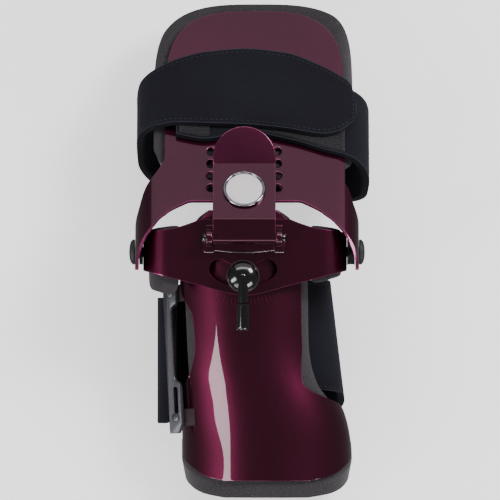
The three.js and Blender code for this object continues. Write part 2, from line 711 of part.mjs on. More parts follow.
// Hand strap, from its tab on top round to the end that lies under it. x: shares of the left or right
// half width; z: share of its depth; rear, front: its edges, in shares of its width from its rear line
const HAND_STRAP_TABLE = [
  { x: 0.9, z: 0.062, rear: 0.15, front: 0.33 },
  { x: 0.88, z: 0.084, rear: 0.065, front: 0.41 },
  { x: 0.84, z: 0.107, rear: -0.01, front: 0.55 },
  { x: 0.752, z: 0.132, rear: -0.12, front: 0.63 },
  { x: 0.64, z: 0.14, rear: -0.163, front: 0.728 },
  { x: 0.32, z: 0.14, rear: -0.087, front: 0.926 },
  { x: 0.0, z: 0.14, rear: -0.037, front: 0.978 },
  { x: -0.367, z: 0.14, rear: -0.02, front: 0.935 },
  { x: -0.624, z: 0.128, rear: 0.0, front: 0.85 },
  { x: -0.77, z: 0.084, rear: 0.007, front: 0.79 },
  { x: -0.9, z: 0.0, rear: 0.015, front: 0.74 },
  { x: -0.978, z: -0.14, rear: 0.02, front: 0.707 },
  { x: -1.0, z: -0.32, rear: 0.02, front: 0.685 },
  { x: -0.99, z: -0.6, rear: 0.0, front: 0.65 },
  { x: -0.88, z: -0.86, rear: -0.04, front: 0.63 },
  { x: -0.66, z: -1.0, rear: -0.087, front: 0.61 },
  { x: 0.0, z: -1.03, rear: -0.13, front: 0.587 },
  { x: 0.64, z: -0.99, rear: -0.217, front: 0.565 },
  { x: 0.88, z: -0.84, rear: -0.326, front: 0.533 },
  { x: 0.984, z: -0.6, rear: -0.413, front: 0.5 },
  { x: 1.0, z: -0.34, rear: -0.435, front: 0.489 },
  { x: 0.984, z: -0.2, rear: -0.435, front: 0.496 },
  { x: 0.944, z: -0.09, rear: -0.413, front: 0.504 },
  { x: 0.88, z: 0.0, rear: -0.39, front: 0.51 },
  { x: 0.8, z: 0.052, rear: -0.37, front: 0.52 },
  { x: 0.688, z: 0.066, rear: -0.337, front: 0.53 },
  { x: 0.392, z: 0.066, rear: -0.196, front: 0.65 },
  { x: 0.0, z: 0.066, rear: -0.087, front: 0.7 },
  { x: -0.367, z: 0.066, rear: -0.174, front: 0.7 },
  { x: -0.642, z: 0.066, rear: -0.109, front: 0.65 },
];

function handStrap() {
  const rows = measured(HAND_STRAP_TABLE);
  const spot = (t, u) => {
    const x = column(rows, "x", t);
    const edge = THREE.MathUtils.lerp(column(rows, "rear", t), column(rows, "front", t), u);
    const y = HAND_STRAP_REAR + edge * HAND_STRAP_WIDTH;
    return v3(x * (x < 0 ? HAND_STRAP_LEFT : HAND_STRAP_RIGHT), y, column(rows, "z", t) * HAND_STRAP_DEPTH);
  };
  return strap(66, spot, lieFlat(-droop, v3(0, HAND_CREASE_Y, HAND_CREASE_Z)));
}

// Wrist strap, from under the bar round to under the foam's right edge. x: shares of the left or right
// half width; z: share of the way from its top down to the floor; front, rear: its edges, in shares of
// its width
const WRIST_STRAP_TABLE = [
  { x: -0.78, z: 0.0, front: 0.06, rear: 0.98 },
  { x: -0.86, z: 0.01, front: 0.03, rear: 0.99 },
  { x: -0.93, z: 0.05, front: 0.01, rear: 1.0 },
  { x: -0.98, z: 0.13, front: 0.0, rear: 1.0 },
  { x: -1.0, z: 0.28, front: 0.0, rear: 1.0 },
  { x: -1.0, z: 0.5, front: 0.0, rear: 1.0 },
  { x: -0.97, z: 0.74, front: 0.0, rear: 1.0 },
  { x: -0.87, z: 0.92, front: 0.0, rear: 1.0 },
  { x: -0.7, z: 1.01, front: 0.0, rear: 1.0 },
  { x: 0.0, z: 1.03, front: -0.03, rear: 0.98 },
  { x: 0.66, z: 1.01, front: -0.08, rear: 0.95 },
  { x: 0.86, z: 0.92, front: -0.1, rear: 0.92 },
  { x: 0.96, z: 0.74, front: -0.12, rear: 0.88 },
  { x: 1.0, z: 0.5, front: -0.13, rear: 0.82 },
  { x: 0.99, z: 0.3, front: -0.14, rear: 0.77 },
  { x: 0.95, z: 0.15, front: -0.14, rear: 0.75 },
  { x: 0.85, z: 0.03, front: -0.14, rear: 0.74 },
  { x: 0.7, z: -0.03, front: -0.14, rear: 0.73 },
  { x: 0.6, z: -0.06, front: -0.14, rear: 0.73 },
];

function wristStrap() {
  const rows = measured(WRIST_STRAP_TABLE);
  const spot = (t, u) => {
    const x = column(rows, "x", t);
    const edge = THREE.MathUtils.lerp(column(rows, "rear", t), column(rows, "front", t), u);
    const y = -WRIST_STRAP_FRONT - edge * WRIST_STRAP_WIDTH;
    const flare = (edge - 0.4) * WRIST_STRAP_FLARE;
    const z = THREE.MathUtils.lerp(WRIST_STRAP_TOP, floorAt(y), column(rows, "z", t));
    return v3(x * (x < 0 ? WRIST_STRAP_LEFT : WRIST_STRAP_RIGHT + flare), y, z);
  };
  return strap(40, spot, lieFlat());
}

// A solid turned on a vertical axis from pairs of radius and height
function turned(profile, sides = 20) {
  const geometry = new THREE.LatheGeometry(profile.map(([r, z]) => new THREE.Vector2(r, z)), sides);
  geometry.rotateX(Math.PI / 2);
  return geometry;
}

// The quarter of a dome, from its rim to its top
function dome(radius, low, height, steps = 4) {
  const turn = (i) => (i / steps) * (Math.PI / 2);
  return Array.from({ length: steps + 1 }, (_, i) => [
    i === steps ? 0 : radius * Math.cos(turn(i)),
    low + height * Math.sin(turn(i)),
  ]);
}

// Rivet that the yoke turns on: its shank ends in the shell, its head lies on the bracket
function swivelRivet() {
  const seat = GAP + YOKE_WALL + GAP + BRACKET_WALL + GAP;
  const r = SWIVEL_RIVET_RADIUS;
  const head = dome(SWIVEL_RIVET_HEAD_RADIUS, seat, SWIVEL_RIVET_HEAD);
  const geometry = turned([[0, -SHELL_WALL], [r, -SHELL_WALL], [r, seat], ...head]);
  geometry.translate(SWIVEL_X, SWIVEL_Y, 0);
  return geometry;
}

const YOKE_TOP = GAP + YOKE_WALL;
const WASHER_LOW = YOKE_TOP + GAP;
const HUB_LOW = WASHER_LOW + WASHER_WALL + GAP;
const STUD_TOP = HUB_LOW + HUB_HEIGHT * 0.5;

function clampStud() {
  return bar(SWIVEL_X, SWIVEL_Y - SLOT_RADIUS, -SHELL_WALL, STUD_TOP, STUD_RADIUS, 20);
}

function clampWasher() {
  const hole = STUD_RADIUS + GAP;
  const top = WASHER_LOW + WASHER_WALL;
  const geometry = turned([[hole, WASHER_LOW], [WASHER_RADIUS, WASHER_LOW], [WASHER_RADIUS, top], [hole, top],
    [hole, WASHER_LOW]]);
  geometry.translate(SWIVEL_X, SWIVEL_Y - SLOT_RADIUS, 0);
  return geometry;
}

// Hub and arm of the clamp lever, about the stud's axis
const ARM_Z = HUB_LOW + HUB_HEIGHT - ARM_RADIUS * 0.9;

function clampHub() {
  const bore = STUD_RADIUS + GAP;
  const shoulder = HUB_LOW + HUB_HEIGHT * 0.55;
  const boreTop = STUD_TOP + GAP;
  const hub = turned([[0, boreTop], [bore, boreTop], [bore, HUB_LOW], [HUB_RADIUS, HUB_LOW],
    ...dome(HUB_RADIUS, shoulder, HUB_LOW + HUB_HEIGHT - shoulder)]);
  const arm = new THREE.CylinderGeometry(ARM_RADIUS, ARM_RADIUS, ARM_REACH + GRIP_LENGTH * 0.5, 14);
  arm.translate(0, -(ARM_REACH + GRIP_LENGTH * 0.5) / 2, ARM_Z);
  const root = new THREE.SphereGeometry(ARM_RADIUS, 14, 8);
  root.translate(0, 0, ARM_Z);
  return join(hub, arm, root);
}

function clampGrip() {
  const bore = ARM_RADIUS + GAP;
  const bottom = GRIP_LENGTH * 0.5 + GAP;
  const profile = [[0, bottom], [bore, bottom], [bore, 0], [GRIP_RADIUS, 0],
    ...dome(GRIP_RADIUS, GRIP_LENGTH - GRIP_RADIUS * 0.5, GRIP_RADIUS * 0.5)];
  const geometry = turned(profile, 16);
  geometry.rotateX(Math.PI / 2);
  geometry.translate(0, -ARM_REACH, ARM_Z);
  return geometry;
}

// Cup lever, about its hinge. Its line in the plane of y and z: a rolled tail, a level top, a panel that
// drops beside the hand plate and a level thumb tab
const TOP_RISE = LEVER_TOP_Z - LEVER_HINGE_Z;
const FOLD_Y = LEVER_FOLD_Y - LEVER_HINGE_Y;
const PANEL_END_Y = FOLD_Y + LEVER_PANEL * Math.cos(droop);
const PANEL_END_Z = TOP_RISE - LEVER_PANEL * Math.sin(droop);

function leverLine() {
  const half = LEVER_WIDTH / 2;
  const line = [];
  for (let i = 0; i <= 4; i += 1) {
    const turn = Math.PI - (i / 4) * (Math.PI / 2);
    const [ny, nz] = [Math.cos(turn), Math.sin(turn)];
    const roll = { y: TOP_RISE * ny, z: TOP_RISE * nz, ny, nz };
    line.push({ ...roll, half });
  }
  const crease = { ny: Math.sin(droop / 2), nz: Math.cos(droop / 2) };
  line.push({ y: FOLD_Y, z: TOP_RISE, ...crease, half });
  line.push({ y: PANEL_END_Y, z: PANEL_END_Z, ...crease, half });
  const straight = LEVER_TAB - half;
  for (let i = 0; i <= 12; i += 1) {
    const turn = (i / 12) * (Math.PI / 2);
    const width = Math.max(half * Math.cos(turn), TAB_TIP_HALF);
    const y = PANEL_END_Y + straight + half * Math.sin(turn);
    line.push({ y, z: PANEL_END_Z, ny: 0, nz: 1, half: width });
  }
  return line;
}

function cupLever() {
  const line = leverLine();
  const last = line.length - 1;
  const place = (u, v) => {
    const { y, z, ny, nz, half } = line[Math.round(v * last)];
    return { point: v3(THREE.MathUtils.lerp(half, -half, u), y, z), normal: v3(0, ny, nz) };
  };
  const sheet = plate(4, last, (u, v) => place(u, 1 - v), LEVER_WALL);
  const flangeDrop = (y, z, depth) => [y - depth * Math.sin(droop), z - depth * Math.cos(droop)];
  const side = new THREE.Shape();
  side.moveTo(0, TOP_RISE - LEVER_WALL / 2);
  side.lineTo(FOLD_Y, TOP_RISE - LEVER_WALL / 2);
  side.lineTo(PANEL_END_Y, PANEL_END_Z - LEVER_WALL / 2);
  side.lineTo(...flangeDrop(PANEL_END_Y, PANEL_END_Z, LEVER_FLANGE_END));
  side.lineTo(...flangeDrop(FOLD_Y, TOP_RISE, LEVER_FLANGE));
  side.lineTo(LEVER_TAIL * 0.5, -LEVER_TAIL);
  side.absarc(0, 0, LEVER_TAIL, -Math.PI / 2, -Math.PI * 1.5, true);
  const flanges = [-1, 1].map((at) => {
    const flange = blank(side, 0, LEVER_WALL, 8);
    flange.rotateX(Math.PI / 2);
    flange.rotateZ(Math.PI / 2);
    flange.translate(at > 0 ? LEVER_WIDTH / 2 - LEVER_WALL : -LEVER_WIDTH / 2, 0, 0);
    return flange;
  });
  const hole = crossBar(-LEVER_WIDTH, LEVER_WIDTH, 0, 0, LEVER_PIN_RADIUS + GAP);
  return cut(join(sheet, ...flanges), hole);
}

// Bracket on the yoke with an ear on each side of the lever, about the hinge
const EAR_INNER = LEVER_WIDTH / 2 + GAP;
const EAR_OUTER = EAR_INNER + EAR_WALL;
const BRACKET_LOW = YOKE_TOP + GAP - LEVER_HINGE_Z;

function hingeBracket() {
  const base = new THREE.BoxGeometry(EAR_OUTER * 2, BRACKET_LENGTH, BRACKET_WALL);
  base.translate(0, 0, BRACKET_LOW + BRACKET_WALL / 2);
  const side = new THREE.Shape();
  side.moveTo(-EAR_RADIUS, BRACKET_LOW);
  side.lineTo(EAR_RADIUS, BRACKET_LOW);
  side.lineTo(EAR_RADIUS, 0);
  side.absarc(0, 0, EAR_RADIUS, 0, Math.PI, false);
  side.lineTo(-EAR_RADIUS, BRACKET_LOW);
  const ears = [-EAR_OUTER, EAR_INNER].map((from) => {
    const ear = blank(side, 0, EAR_WALL, 8);
    ear.rotateX(Math.PI / 2);
    ear.rotateZ(Math.PI / 2);
    ear.translate(from, 0, 0);
    return ear;
  });
  const pinHole = crossBar(-EAR_OUTER * 2, EAR_OUTER * 2, 0, 0, LEVER_PIN_RADIUS + GAP);
  const high = BRACKET_LOW + BRACKET_WALL + 1;
  const x = SWIVEL_X - LEVER_X;
  const rivetHole = bar(x, SWIVEL_Y - LEVER_HINGE_Y, BRACKET_LOW - 1, high, SWIVEL_RIVET_RADIUS + GAP);
  return cut(join(base, ...ears), pinHole, rivetHole);
}

function leverPin() {
  const shank = EAR_OUTER + GAP;
  const head = shank + PIN_HEAD;
  const round = PIN_HEAD_RADIUS * 0.6;
  const upper = [
    [LEVER_PIN_RADIUS, shank], [PIN_HEAD_RADIUS, shank], [PIN_HEAD_RADIUS, shank + PIN_HEAD * 0.5],
    [round, head], [0, head],
  ];
  const lower = upper.map(([radius, along]) => [radius, -along]).reverse();
  const geometry = turned([...lower, ...upper], 14);
  geometry.rotateY(Math.PI / 2);
  return geometry;
}

function badgeRim() {
  const inner = BADGE_RADIUS - BADGE_RIM_WIDTH;
  const top = BADGE_RIM_HEIGHT;
  return turned([[inner, 0], [BADGE_RADIUS, 0], [BADGE_RADIUS, top * 0.6], [BADGE_RADIUS - 0.5, top],
    [inner + 0.4, top], [inner, top * 0.7], [inner, 0]], 28);
}

function badgeFace() {
  const radius = BADGE_RADIUS - BADGE_RIM_WIDTH - GAP;
  const side = BADGE_RIM_HEIGHT * BADGE_FACE_SIDE;
  return turned([[0, 0], [radius, 0], [radius, side], ...dome(radius, side, BADGE_CROWN, 3).slice(1)], 28);
}

// Black domed cap of a side pivot, with the pin that joins hand shell and yoke. side: -1 left, 1 right
function pivotCap(side) {
  const face = (side < 0 ? HAND_LEFT : HAND_RIGHT) + GAP;
  const pin = face - (YOKE_HALF_WIDTH - YOKE_WALL);
  const geometry = turned([[0, -pin], [PIVOT_PIN_RADIUS, -pin], [PIVOT_PIN_RADIUS, 0],
    ...dome(PIVOT_CAP_RADIUS, 0, PIVOT_CAP_HEIGHT, 4)], 20);
  geometry.rotateY((side * Math.PI) / 2);
  geometry.translate(side * face, pivotBack.y, pivotBack.z);
  return geometry;
}

// Spacer between a lug of the yoke and the hand shell, about the pivot
function pivotSpacer(side) {
  const from = YOKE_HALF_WIDTH + GAP;
  const to = (side < 0 ? HAND_LEFT : HAND_RIGHT) - SHELL_WALL - GAP;
  const hole = PIVOT_PIN_RADIUS + GAP;
  const ring = [[hole, from], [SPACER_RADIUS, from], [SPACER_RADIUS, to], [hole, to], [hole, from]];
  const geometry = turned(ring, 20);
  geometry.rotateY((side * Math.PI) / 2);
  geometry.translate(0, PIVOT_Y, PIVOT_Z);
  return geometry;
}

// The assembly
function piece(name, geometry, material, group) {
  const mesh = new THREE.Mesh(geometry, material);
  mesh.name = name;
  group.add(mesh);
  return mesh;
}

const device = new THREE.Group();
device.rotation.x = rad(REST_TILT);

piece("forearm_shell", forearmShell(), burgundy, device);
piece("forearm_pad", forearmPad(), foam, device);
piece("strap_bar", strapBar(), greyMetal, device);
piece("bar_rivet_front", barRivet(BAR_RIVETS[0]), steel, device);
piece("bar_rivet_rear", barRivet(BAR_RIVETS[1]), steel, device);
piece("wrist_strap", wristStrap(), webbing, device);
piece("swivel_rivet", swivelRivet(), blackMetal, device);
piece("clamp_stud", clampStud(), steel, device);
piece("clamp_washer", clampWasher(), blackMetal, device);

piece("yoke_plate", yokePlate(), burgundy, device);
piece("wing_pad_left", wingPad(-1), foam, device);
piece("wing_pad_right", wingPad(1), foam, device);
piece("pivot_spacer_left", pivotSpacer(-1), blackMetal, device);
piece("pivot_spacer_right", pivotSpacer(1), blackMetal, device);

const clampLever = new THREE.Group();
clampLever.position.set(SWIVEL_X, SWIVEL_Y - SLOT_RADIUS, 0);
device.add(clampLever);
piece("clamp_hub", clampHub(), blackMetal, clampLever);
piece("clamp_grip", clampGrip(), blackMetal, clampLever);

const hinge = new THREE.Group();
hinge.position.set(LEVER_X, LEVER_HINGE_Y, LEVER_HINGE_Z);
device.add(hinge);
piece("hinge_bracket", hingeBracket(), burgundy, hinge);
piece("cup_lever", cupLever(), burgundy, hinge);
piece("lever_pin", leverPin(), blackMetal, hinge);

const badge = new THREE.Group();
badge.position.set(0, FOLD_Y, TOP_RISE);
badge.rotation.x = -droop;
hinge.add(badge);
const rim = piece("badge_rim", badgeRim(), chrome, badge);
const face = piece("badge_face", badgeFace(), pearl, badge);
rim.position.set(0, BADGE_ALONG, GAP);
face.position.set(0, BADGE_ALONG, GAP);

const hand = new THREE.Group();
hand.position.set(0, HAND_CREASE_Y, HAND_CREASE_Z);
hand.rotation.x = -droop;
device.add(hand);
piece("hand_shell", handShell(), burgundy, hand);
piece("hand_pad", handPad(), foam, hand);
piece("hand_strap", handStrap(), webbing, hand);
piece("pivot_cap_left", pivotCap(-1), blackMetal, hand);
piece("pivot_cap_right", pivotCap(1), blackMetal, hand);

// The origin is under the middle of the whole, on the floor
const whole = new THREE.Group();
whole.add(device);
const box = new THREE.Box3().setFromObject(whole, true);
device.position.set(-(box.min.x + box.max.x) / 2, -(box.min.y + box.max.y) / 2, -box.min.z);

export default whole;
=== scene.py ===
"""A rigid bowling wrist positioner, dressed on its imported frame. Metres, +Z up, the fingers toward +Y."""

import json
import math

import bmesh
import bpy
import numpy as np
from mathutils import Matrix, Vector


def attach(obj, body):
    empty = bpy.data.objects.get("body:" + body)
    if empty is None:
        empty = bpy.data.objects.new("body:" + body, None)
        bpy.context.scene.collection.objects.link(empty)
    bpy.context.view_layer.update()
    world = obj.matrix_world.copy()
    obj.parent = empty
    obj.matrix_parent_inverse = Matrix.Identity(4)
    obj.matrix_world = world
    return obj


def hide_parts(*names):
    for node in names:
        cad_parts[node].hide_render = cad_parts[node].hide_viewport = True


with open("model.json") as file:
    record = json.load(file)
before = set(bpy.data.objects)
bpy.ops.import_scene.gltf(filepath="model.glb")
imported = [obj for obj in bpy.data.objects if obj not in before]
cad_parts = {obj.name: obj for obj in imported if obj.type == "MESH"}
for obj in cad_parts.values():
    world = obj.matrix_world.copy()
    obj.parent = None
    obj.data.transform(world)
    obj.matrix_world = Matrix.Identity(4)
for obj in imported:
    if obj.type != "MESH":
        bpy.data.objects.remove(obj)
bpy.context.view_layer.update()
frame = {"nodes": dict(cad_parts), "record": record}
rad = math.radians

# The frames that the pieces are drawn in, in millimetres
JOINTS = {j["name"]: j for j in frame["record"]["behaviour"]["joints"]}
UP = Vector(JOINTS["yoke_swivel"]["axis"])
TILT = math.atan2(-UP.y, UP.z)
DROOP = rad(34.7)
SWIVEL = Vector((-1, 9, 0))


def placed(x, y, z, turn=0.0, axis="X"):
    return Matrix.Translation((x, y, z)) @ Matrix.Rotation(turn, 4, axis)


DEVICE = Matrix.Translation(JOINTS["yoke_swivel"]["pos_m"]) @ Matrix.Rotation(TILT, 4, "X")
DEVICE = DEVICE @ Matrix.Scale(0.001, 4) @ Matrix.Translation(-SWIVEL)
HAND = DEVICE @ placed(0, 24.5, -3.1, -DROOP)
HINGE = DEVICE @ placed(-0.4, 6, 8.6)
CLAMP = DEVICE @ placed(-1, -13.2, 0)
BADGE = HINGE @ placed(0, 9.5, 3, -DROOP) @ placed(0, 17.5, 0.3)

# Materials


def srgb(code):
    """A linear colour from a hex code."""
    parts = [int(code[i:i + 2], 16) / 255 for i in (0, 2, 4)]
    return (*[c / 12.92 if c <= 0.04045 else ((c + 0.055) / 1.055) ** 2.4 for c in parts], 1)


def cells(size):
    """A pattern's scale, from the width of one of its features in mm."""
    return 1000 / size


def fill(tree, node, sockets):
    """Sets or links a node's inputs. A node given for a value stands for its first output in use."""
    for key, value in sockets.items():
        if isinstance(value, bpy.types.Node):
            value = next(output for output in value.outputs if output.enabled)
        if isinstance(value, bpy.types.NodeSocket):
            tree.links.new(value, node.inputs[key])
        else:
            node.inputs[key].default_value = value


def add(tree, kind, sockets, stops=(), **settings):
    """Adds a node with its settings, its inputs and a colour ramp's stops, each a place and a hex code."""
    node = tree.nodes.new("ShaderNode" + kind)
    for key, value in settings.items():
        setattr(node, key, value)
    fill(tree, node, sockets)
    if stops:
        elements = node.color_ramp.elements
        while len(elements) < len(stops):
            elements.new(0.5)
        for element, (place, code) in zip(elements, stops):
            element.position, element.color = place, srgb(code)
    return node


def material(name):
    """A new material, its tree, its shader and the place on the surface."""
    made = bpy.data.materials.new(name)
    made.use_nodes = True
    tree = made.node_tree
    shader = tree.nodes["Principled BSDF"]
    where = add(tree, "TexCoord", {}).outputs["Object"]
    return made, tree, shader, where


def edge_mask(tree, near, far):
    """1 at a sheet's rim and 0 further in than far, from the distance in mm that the mesh carries."""
    edge = add(tree, "Attribute", {}, attribute_name="edge_mm").outputs["Fac"]
    span = {"Value": edge, "From Min": near, "From Max": far, "To Min": 1.0, "To Max": 0.0}
    return add(tree, "MapRange", span)


def candy_paint():
    """Candy gloss on aluminium, sprayed: flakes glint in a burgundy base, the clear coat mirrors the lights
    and the rims are pink, partly from the thinner lacquer there and partly as a painted edge highlight.
    The flakes are drawn 0.38 mm wide, coarser than real ones, so that they show."""
    made, tree, shader, where = material("candy_burgundy_gloss")
    flake = add(tree, "TexNoise", {"Vector": where, "Scale": cells(0.3846)})
    cloud = add(tree, "TexNoise", {"Vector": where, "Scale": cells(55.56), "Detail": 3.0})
    body = add(tree, "ValToRGB", {"Fac": cloud}, [(0.3, "450924"), (0.7, "510b2e")])
    sparkle = add(tree, "MapRange", {"Value": flake, "From Min": 0.62, "From Max": 0.8})
    mixed = add(tree, "Mix", {"Factor": sparkle, "A": body, "B": srgb("7a1c4a")}, data_type="RGBA")
    # Pink rims: partly the thinner lacquer at the edge, partly a painted highlight where the edge catches
    # the light
    rim = edge_mask(tree, 0.15, 0.5)
    rimmed = add(tree, "Mix", {"Factor": rim, "A": mixed, "B": srgb("8c3064")}, data_type="RGBA")
    # Specks of dust under the coat, 0.4 mm wide, a few centimetres apart
    dust = add(tree, "TexVoronoi", {"Vector": where, "Scale": cells(7.692)})
    rare = add(tree, "TexNoise", {"Vector": where, "Scale": cells(3.846), "Detail": 1.0})
    speck = add(tree, "Math", {0: dust, 1: 0.055}, operation="LESS_THAN")
    rarely = add(tree, "Math", {0: rare, 1: 0.66}, operation="GREATER_THAN")
    spot = add(tree, "Math", {0: speck, 1: rarely}, operation="MULTIPLY")
    spotted = add(tree, "Mix", {"Factor": spot, "A": rimmed, "B": srgb("8a6a78")}, data_type="RGBA")
    peel = add(tree, "TexNoise", {"Vector": where, "Scale": cells(2.381)})
    rough = add(tree, "MapRange", {"Value": spot, "To Min": 0.33, "To Max": 0.8})
    skin = add(tree, "Bump", {"Height": peel, "Distance": 0.00002, "Strength": 0.12})
    fill(tree, shader, {"Base Color": spotted, "Roughness": rough, "Metallic": 0.9, "Coat Weight": 1.0,
                        "Coat Roughness": 0.018, "Normal": skin})
    return made


def foam_cloth():
    """Charcoal closed-cell foam, skinned: matt, with a speckle of cut cells. The cells are drawn 0.9 mm
    wide, coarser than real ones, so that they show."""
    made, tree, shader, where = material("charcoal_foam")
    grain = add(tree, "TexNoise", {"Vector": where, "Scale": cells(0.6667), "Detail": 3.0, "Roughness": 0.7})
    low = add(tree, "ValToRGB", {"Fac": grain}, [(0.32, "242225"), (0.55, "312e32"), (0.72, "4e4a4e")])
    cloud = add(tree, "TexNoise", {"Vector": where, "Scale": cells(25), "Detail": 3.0})
    share = add(tree, "MapRange", {"Value": cloud, "From Min": 0.35, "From Max": 0.7, "To Max": 0.6})
    mixed = add(tree, "Mix", {"Factor": share, "A": low, "B": srgb("373337")}, data_type="RGBA")
    pores = add(tree, "TexVoronoi", {"Vector": where, "Scale": cells(0.9091)})
    skin = add(tree, "Bump", {"Height": pores, "Distance": 0.0003, "Strength": 0.5})
    fill(tree, shader, {"Base Color": mixed, "Roughness": 0.92, "Sheen Weight": 0.15, "Sheen Roughness": 0.5,
                        "Specular IOR Level": 0.25, "Normal": skin})
    return made


def strap_cloth():
    """Black brushed loop cloth laminated on foam: a fine nap, faint cloudy wear and a paler line along the
    rim.
    The nap is drawn 0.43 mm wide, coarser than real loops, so that it shows."""
    made, tree, shader, where = material("black_loop_cloth")
    nap = add(tree, "TexNoise", {"Vector": where, "Scale": cells(0.4348), "Detail": 3.0, "Roughness": 0.75})
    body = add(tree, "ValToRGB", {"Fac": nap}, [(0.3, "0c0b12"), (0.55, "14141c"), (0.78, "282832")])
    cloud = add(tree, "TexNoise", {"Vector": where, "Scale": cells(33.33), "Detail": 4.0, "Roughness": 0.6})
    worn = add(tree, "ValToRGB", {"Fac": cloud}, [(0.35, "0f0e16"), (0.7, "191924")])
    mixed = add(tree, "Mix", {"Factor": 0.45, "A": body, "B": worn}, data_type="RGBA")
    edge = add(tree, "Attribute", {}, attribute_name="edge_mm").outputs["Fac"]
    line = add(tree, "ValToRGB", {"Fac": edge}, [(0.02, "101015"), (0.12, "34353f")])
    rim = edge_mask(tree, 0.15, 0.6)
    rimmed = add(tree, "Mix", {"Factor": rim, "A": mixed, "B": line}, data_type="RGBA")
    skin = add(tree, "Bump", {"Height": nap, "Distance": 0.00025, "Strength": 0.6})
    fill(tree, shader, {"Base Color": rimmed, "Roughness": 0.88, "Specular IOR Level": 0.2, "Normal": skin,
                        "Sheen Weight": 0.08, "Sheen Roughness": 0.4, "Sheen Tint": srgb("8088a8")})
    return made


def hook_fuzz():
    """The rough woven face of a touch fastener: black, with grey filament tips 0.6 mm apart."""
    made, tree, shader, where = material("fastener_fuzz")
    tips = add(tree, "TexNoise", {"Vector": where, "Scale": cells(0.5882), "Detail": 3.0, "Roughness": 0.8})
    colour = add(tree, "ValToRGB", {"Fac": tips}, [(0.42, "09090d"), (0.62, "15151b"), (0.78, "50505a")])
    skin = add(tree, "Bump", {"Height": tips, "Distance": 0.0005, "Strength": 0.8})
    fill(tree, shader, {"Base Color": colour, "Roughness": 0.8, "Sheen Weight": 0.3,
                        "Specular IOR Level": 0.3, "Normal": skin})
    return made


def hard(name, dark, light, rough, metal, coat=0.0, grain=1.111, relief=0.1):
    """A hard finish with slight clouds, as wide as the grain in mm, in its colour and relief, and smears
    11 mm wide in its gloss."""
    made, tree, shader, where = material(name)
    cloud = add(tree, "TexNoise", {"Vector": where, "Scale": cells(grain), "Detail": 3.0})
    colour = add(tree, "ValToRGB", {"Fac": cloud}, [(0.3, dark), (0.7, light)])
    smear = add(tree, "TexNoise", {"Vector": where, "Scale": cells(11.11), "Detail": 3.0})
    gloss = add(tree, "MapRange", {"Value": smear, "To Min": rough * 0.8, "To Max": rough * 1.25})
    skin = add(tree, "Bump", {"Height": cloud, "Distance": 0.00003, "Strength": relief})
    fill(tree, shader, {"Base Color": colour, "Roughness": gloss, "Metallic": metal, "Coat Weight": coat,
                        "Coat Roughness": 0.05, "Normal": skin})
    return made


PAINT = candy_paint()
FOAM = foam_cloth()
CLOTH = strap_cloth()
FUZZ = hook_fuzz()
# Burgundy made dark and matt: painted shade for the tabs under the bar, which carry the shell's own paint
TAB_SHADE_PAINT = hard("burgundy_painted_shade", "1a060f", "260916", 0.75, 0.0)
# Enamel strokes, printed: slightly brighter than the paint under them
ENAMEL = hard("scale_enamel", "6a1238", "7c1a44", 0.35, 0.3, 0.6)
# Grey satin paint on stamped steel: soft broad reflections
GREY = hard("grey_satin_paint", "37373c", "45454b", 0.38, 0.5, 0.2)
# Bare aluminium, sheared: a bright line along a cut edge
BARE = hard("bare_aluminium", "b5aaa8", "dcd2ce", 0.3, 1.0)
# Turned plain steel
STEEL = hard("plain_steel", "8d8a8c", "a8a4a4", 0.28, 1.0)
# Black gloss lacquer on turned steel: sharp small reflections
BLACK_GLOSS = hard("black_gloss_lacquer", "050506", "0b0b0d", 0.18, 0.0, 1.0)
# Black satin nylon, moulded: dull and slightly grained
BLACK_SATIN = hard("black_satin_moulding", "222326", "303136", 0.48, 0.0, 0.0, 0.6667, 0.3)
# Chrome on brass, polished: mirrors the room
CHROME = hard("bright_chrome", "8a848c", "a49ea6", 0.08, 1.0, 0.0, 3.333, 0.02)
# Pearl white disc under poured clear resin
PEARL = hard("pearl_white_resin", "dcd6da", "eeeaea", 0.3, 0.0, 0.8, 0.4, 0.1)
# Spun polyester sewing thread, black
THREAD = hard("black_thread", "17171d", "2b2b33", 0.6, 0.0, 0.0, 0.25, 0.4)

# Mesh building. A slab carries one distance from its rim, in mm, too large for the paint's pink line
FAR_FROM_RIM = 9


def as_object(name, bm, *materials):
    mesh = bpy.data.meshes.new(name)
    bm.to_mesh(mesh)
    bm.free()
    for m in materials:
        mesh.materials.append(m)
    made = bpy.data.objects.new(name, mesh)
    bpy.context.scene.collection.objects.link(made)
    return made


def finished(made, body, stands_for=(), smooth=38):
    """Smooth shading with crisp corners, and the piece's place in the frame."""
    made.data.shade_smooth()
    made.data.set_sharp_from_angle(angle=rad(smooth))
    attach(made, body)
    if stands_for:
        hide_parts(*stands_for)
    return made


def moved(points, matrix):
    """Points in millimetres of a frame, in world metres."""
    m = np.array(matrix)
    return points @ m[:3, :3].T + m[:3, 3]


def column(rows, key, at):
    """Reads one column of a table at places along it, smoothly and without overshoot."""
    x = np.array([r[0] for r in rows], float)
    y = np.array([r[key] for r in rows], float)
    slope = np.diff(y) / np.diff(x)
    both = slope[:-1] * slope[1:]
    total = slope[:-1] + slope[1:]
    inner = np.where(both > 0, 2 * both / np.where(total == 0, 1, total), 0)
    tangent = np.concatenate([slope[:1], inner, slope[-1:]])
    p = np.clip(at, x[0], x[-1])
    i = np.clip(np.searchsorted(x, p, side="right") - 1, 0, len(x) - 2)
    span = x[i + 1] - x[i]
    t = (p - x[i]) / span
    u = 1 - t
    start = y[i] * (1 + 2 * t) * u * u + tangent[i] * span * t * u * u
    return start + y[i + 1] * (3 - 2 * t) * t * t - tangent[i + 1] * span * u * t * t


def eased(rows, key, at, reach):
    """The same column with its corners eased over a reach along it."""
    at = np.asarray(at, float)
    steps = np.linspace(-2, 2, 9)
    weights = np.exp(-steps ** 2)
    return sum(w * column(rows, key, at + s * reach) for s, w in zip(steps, weights)) / weights.sum()


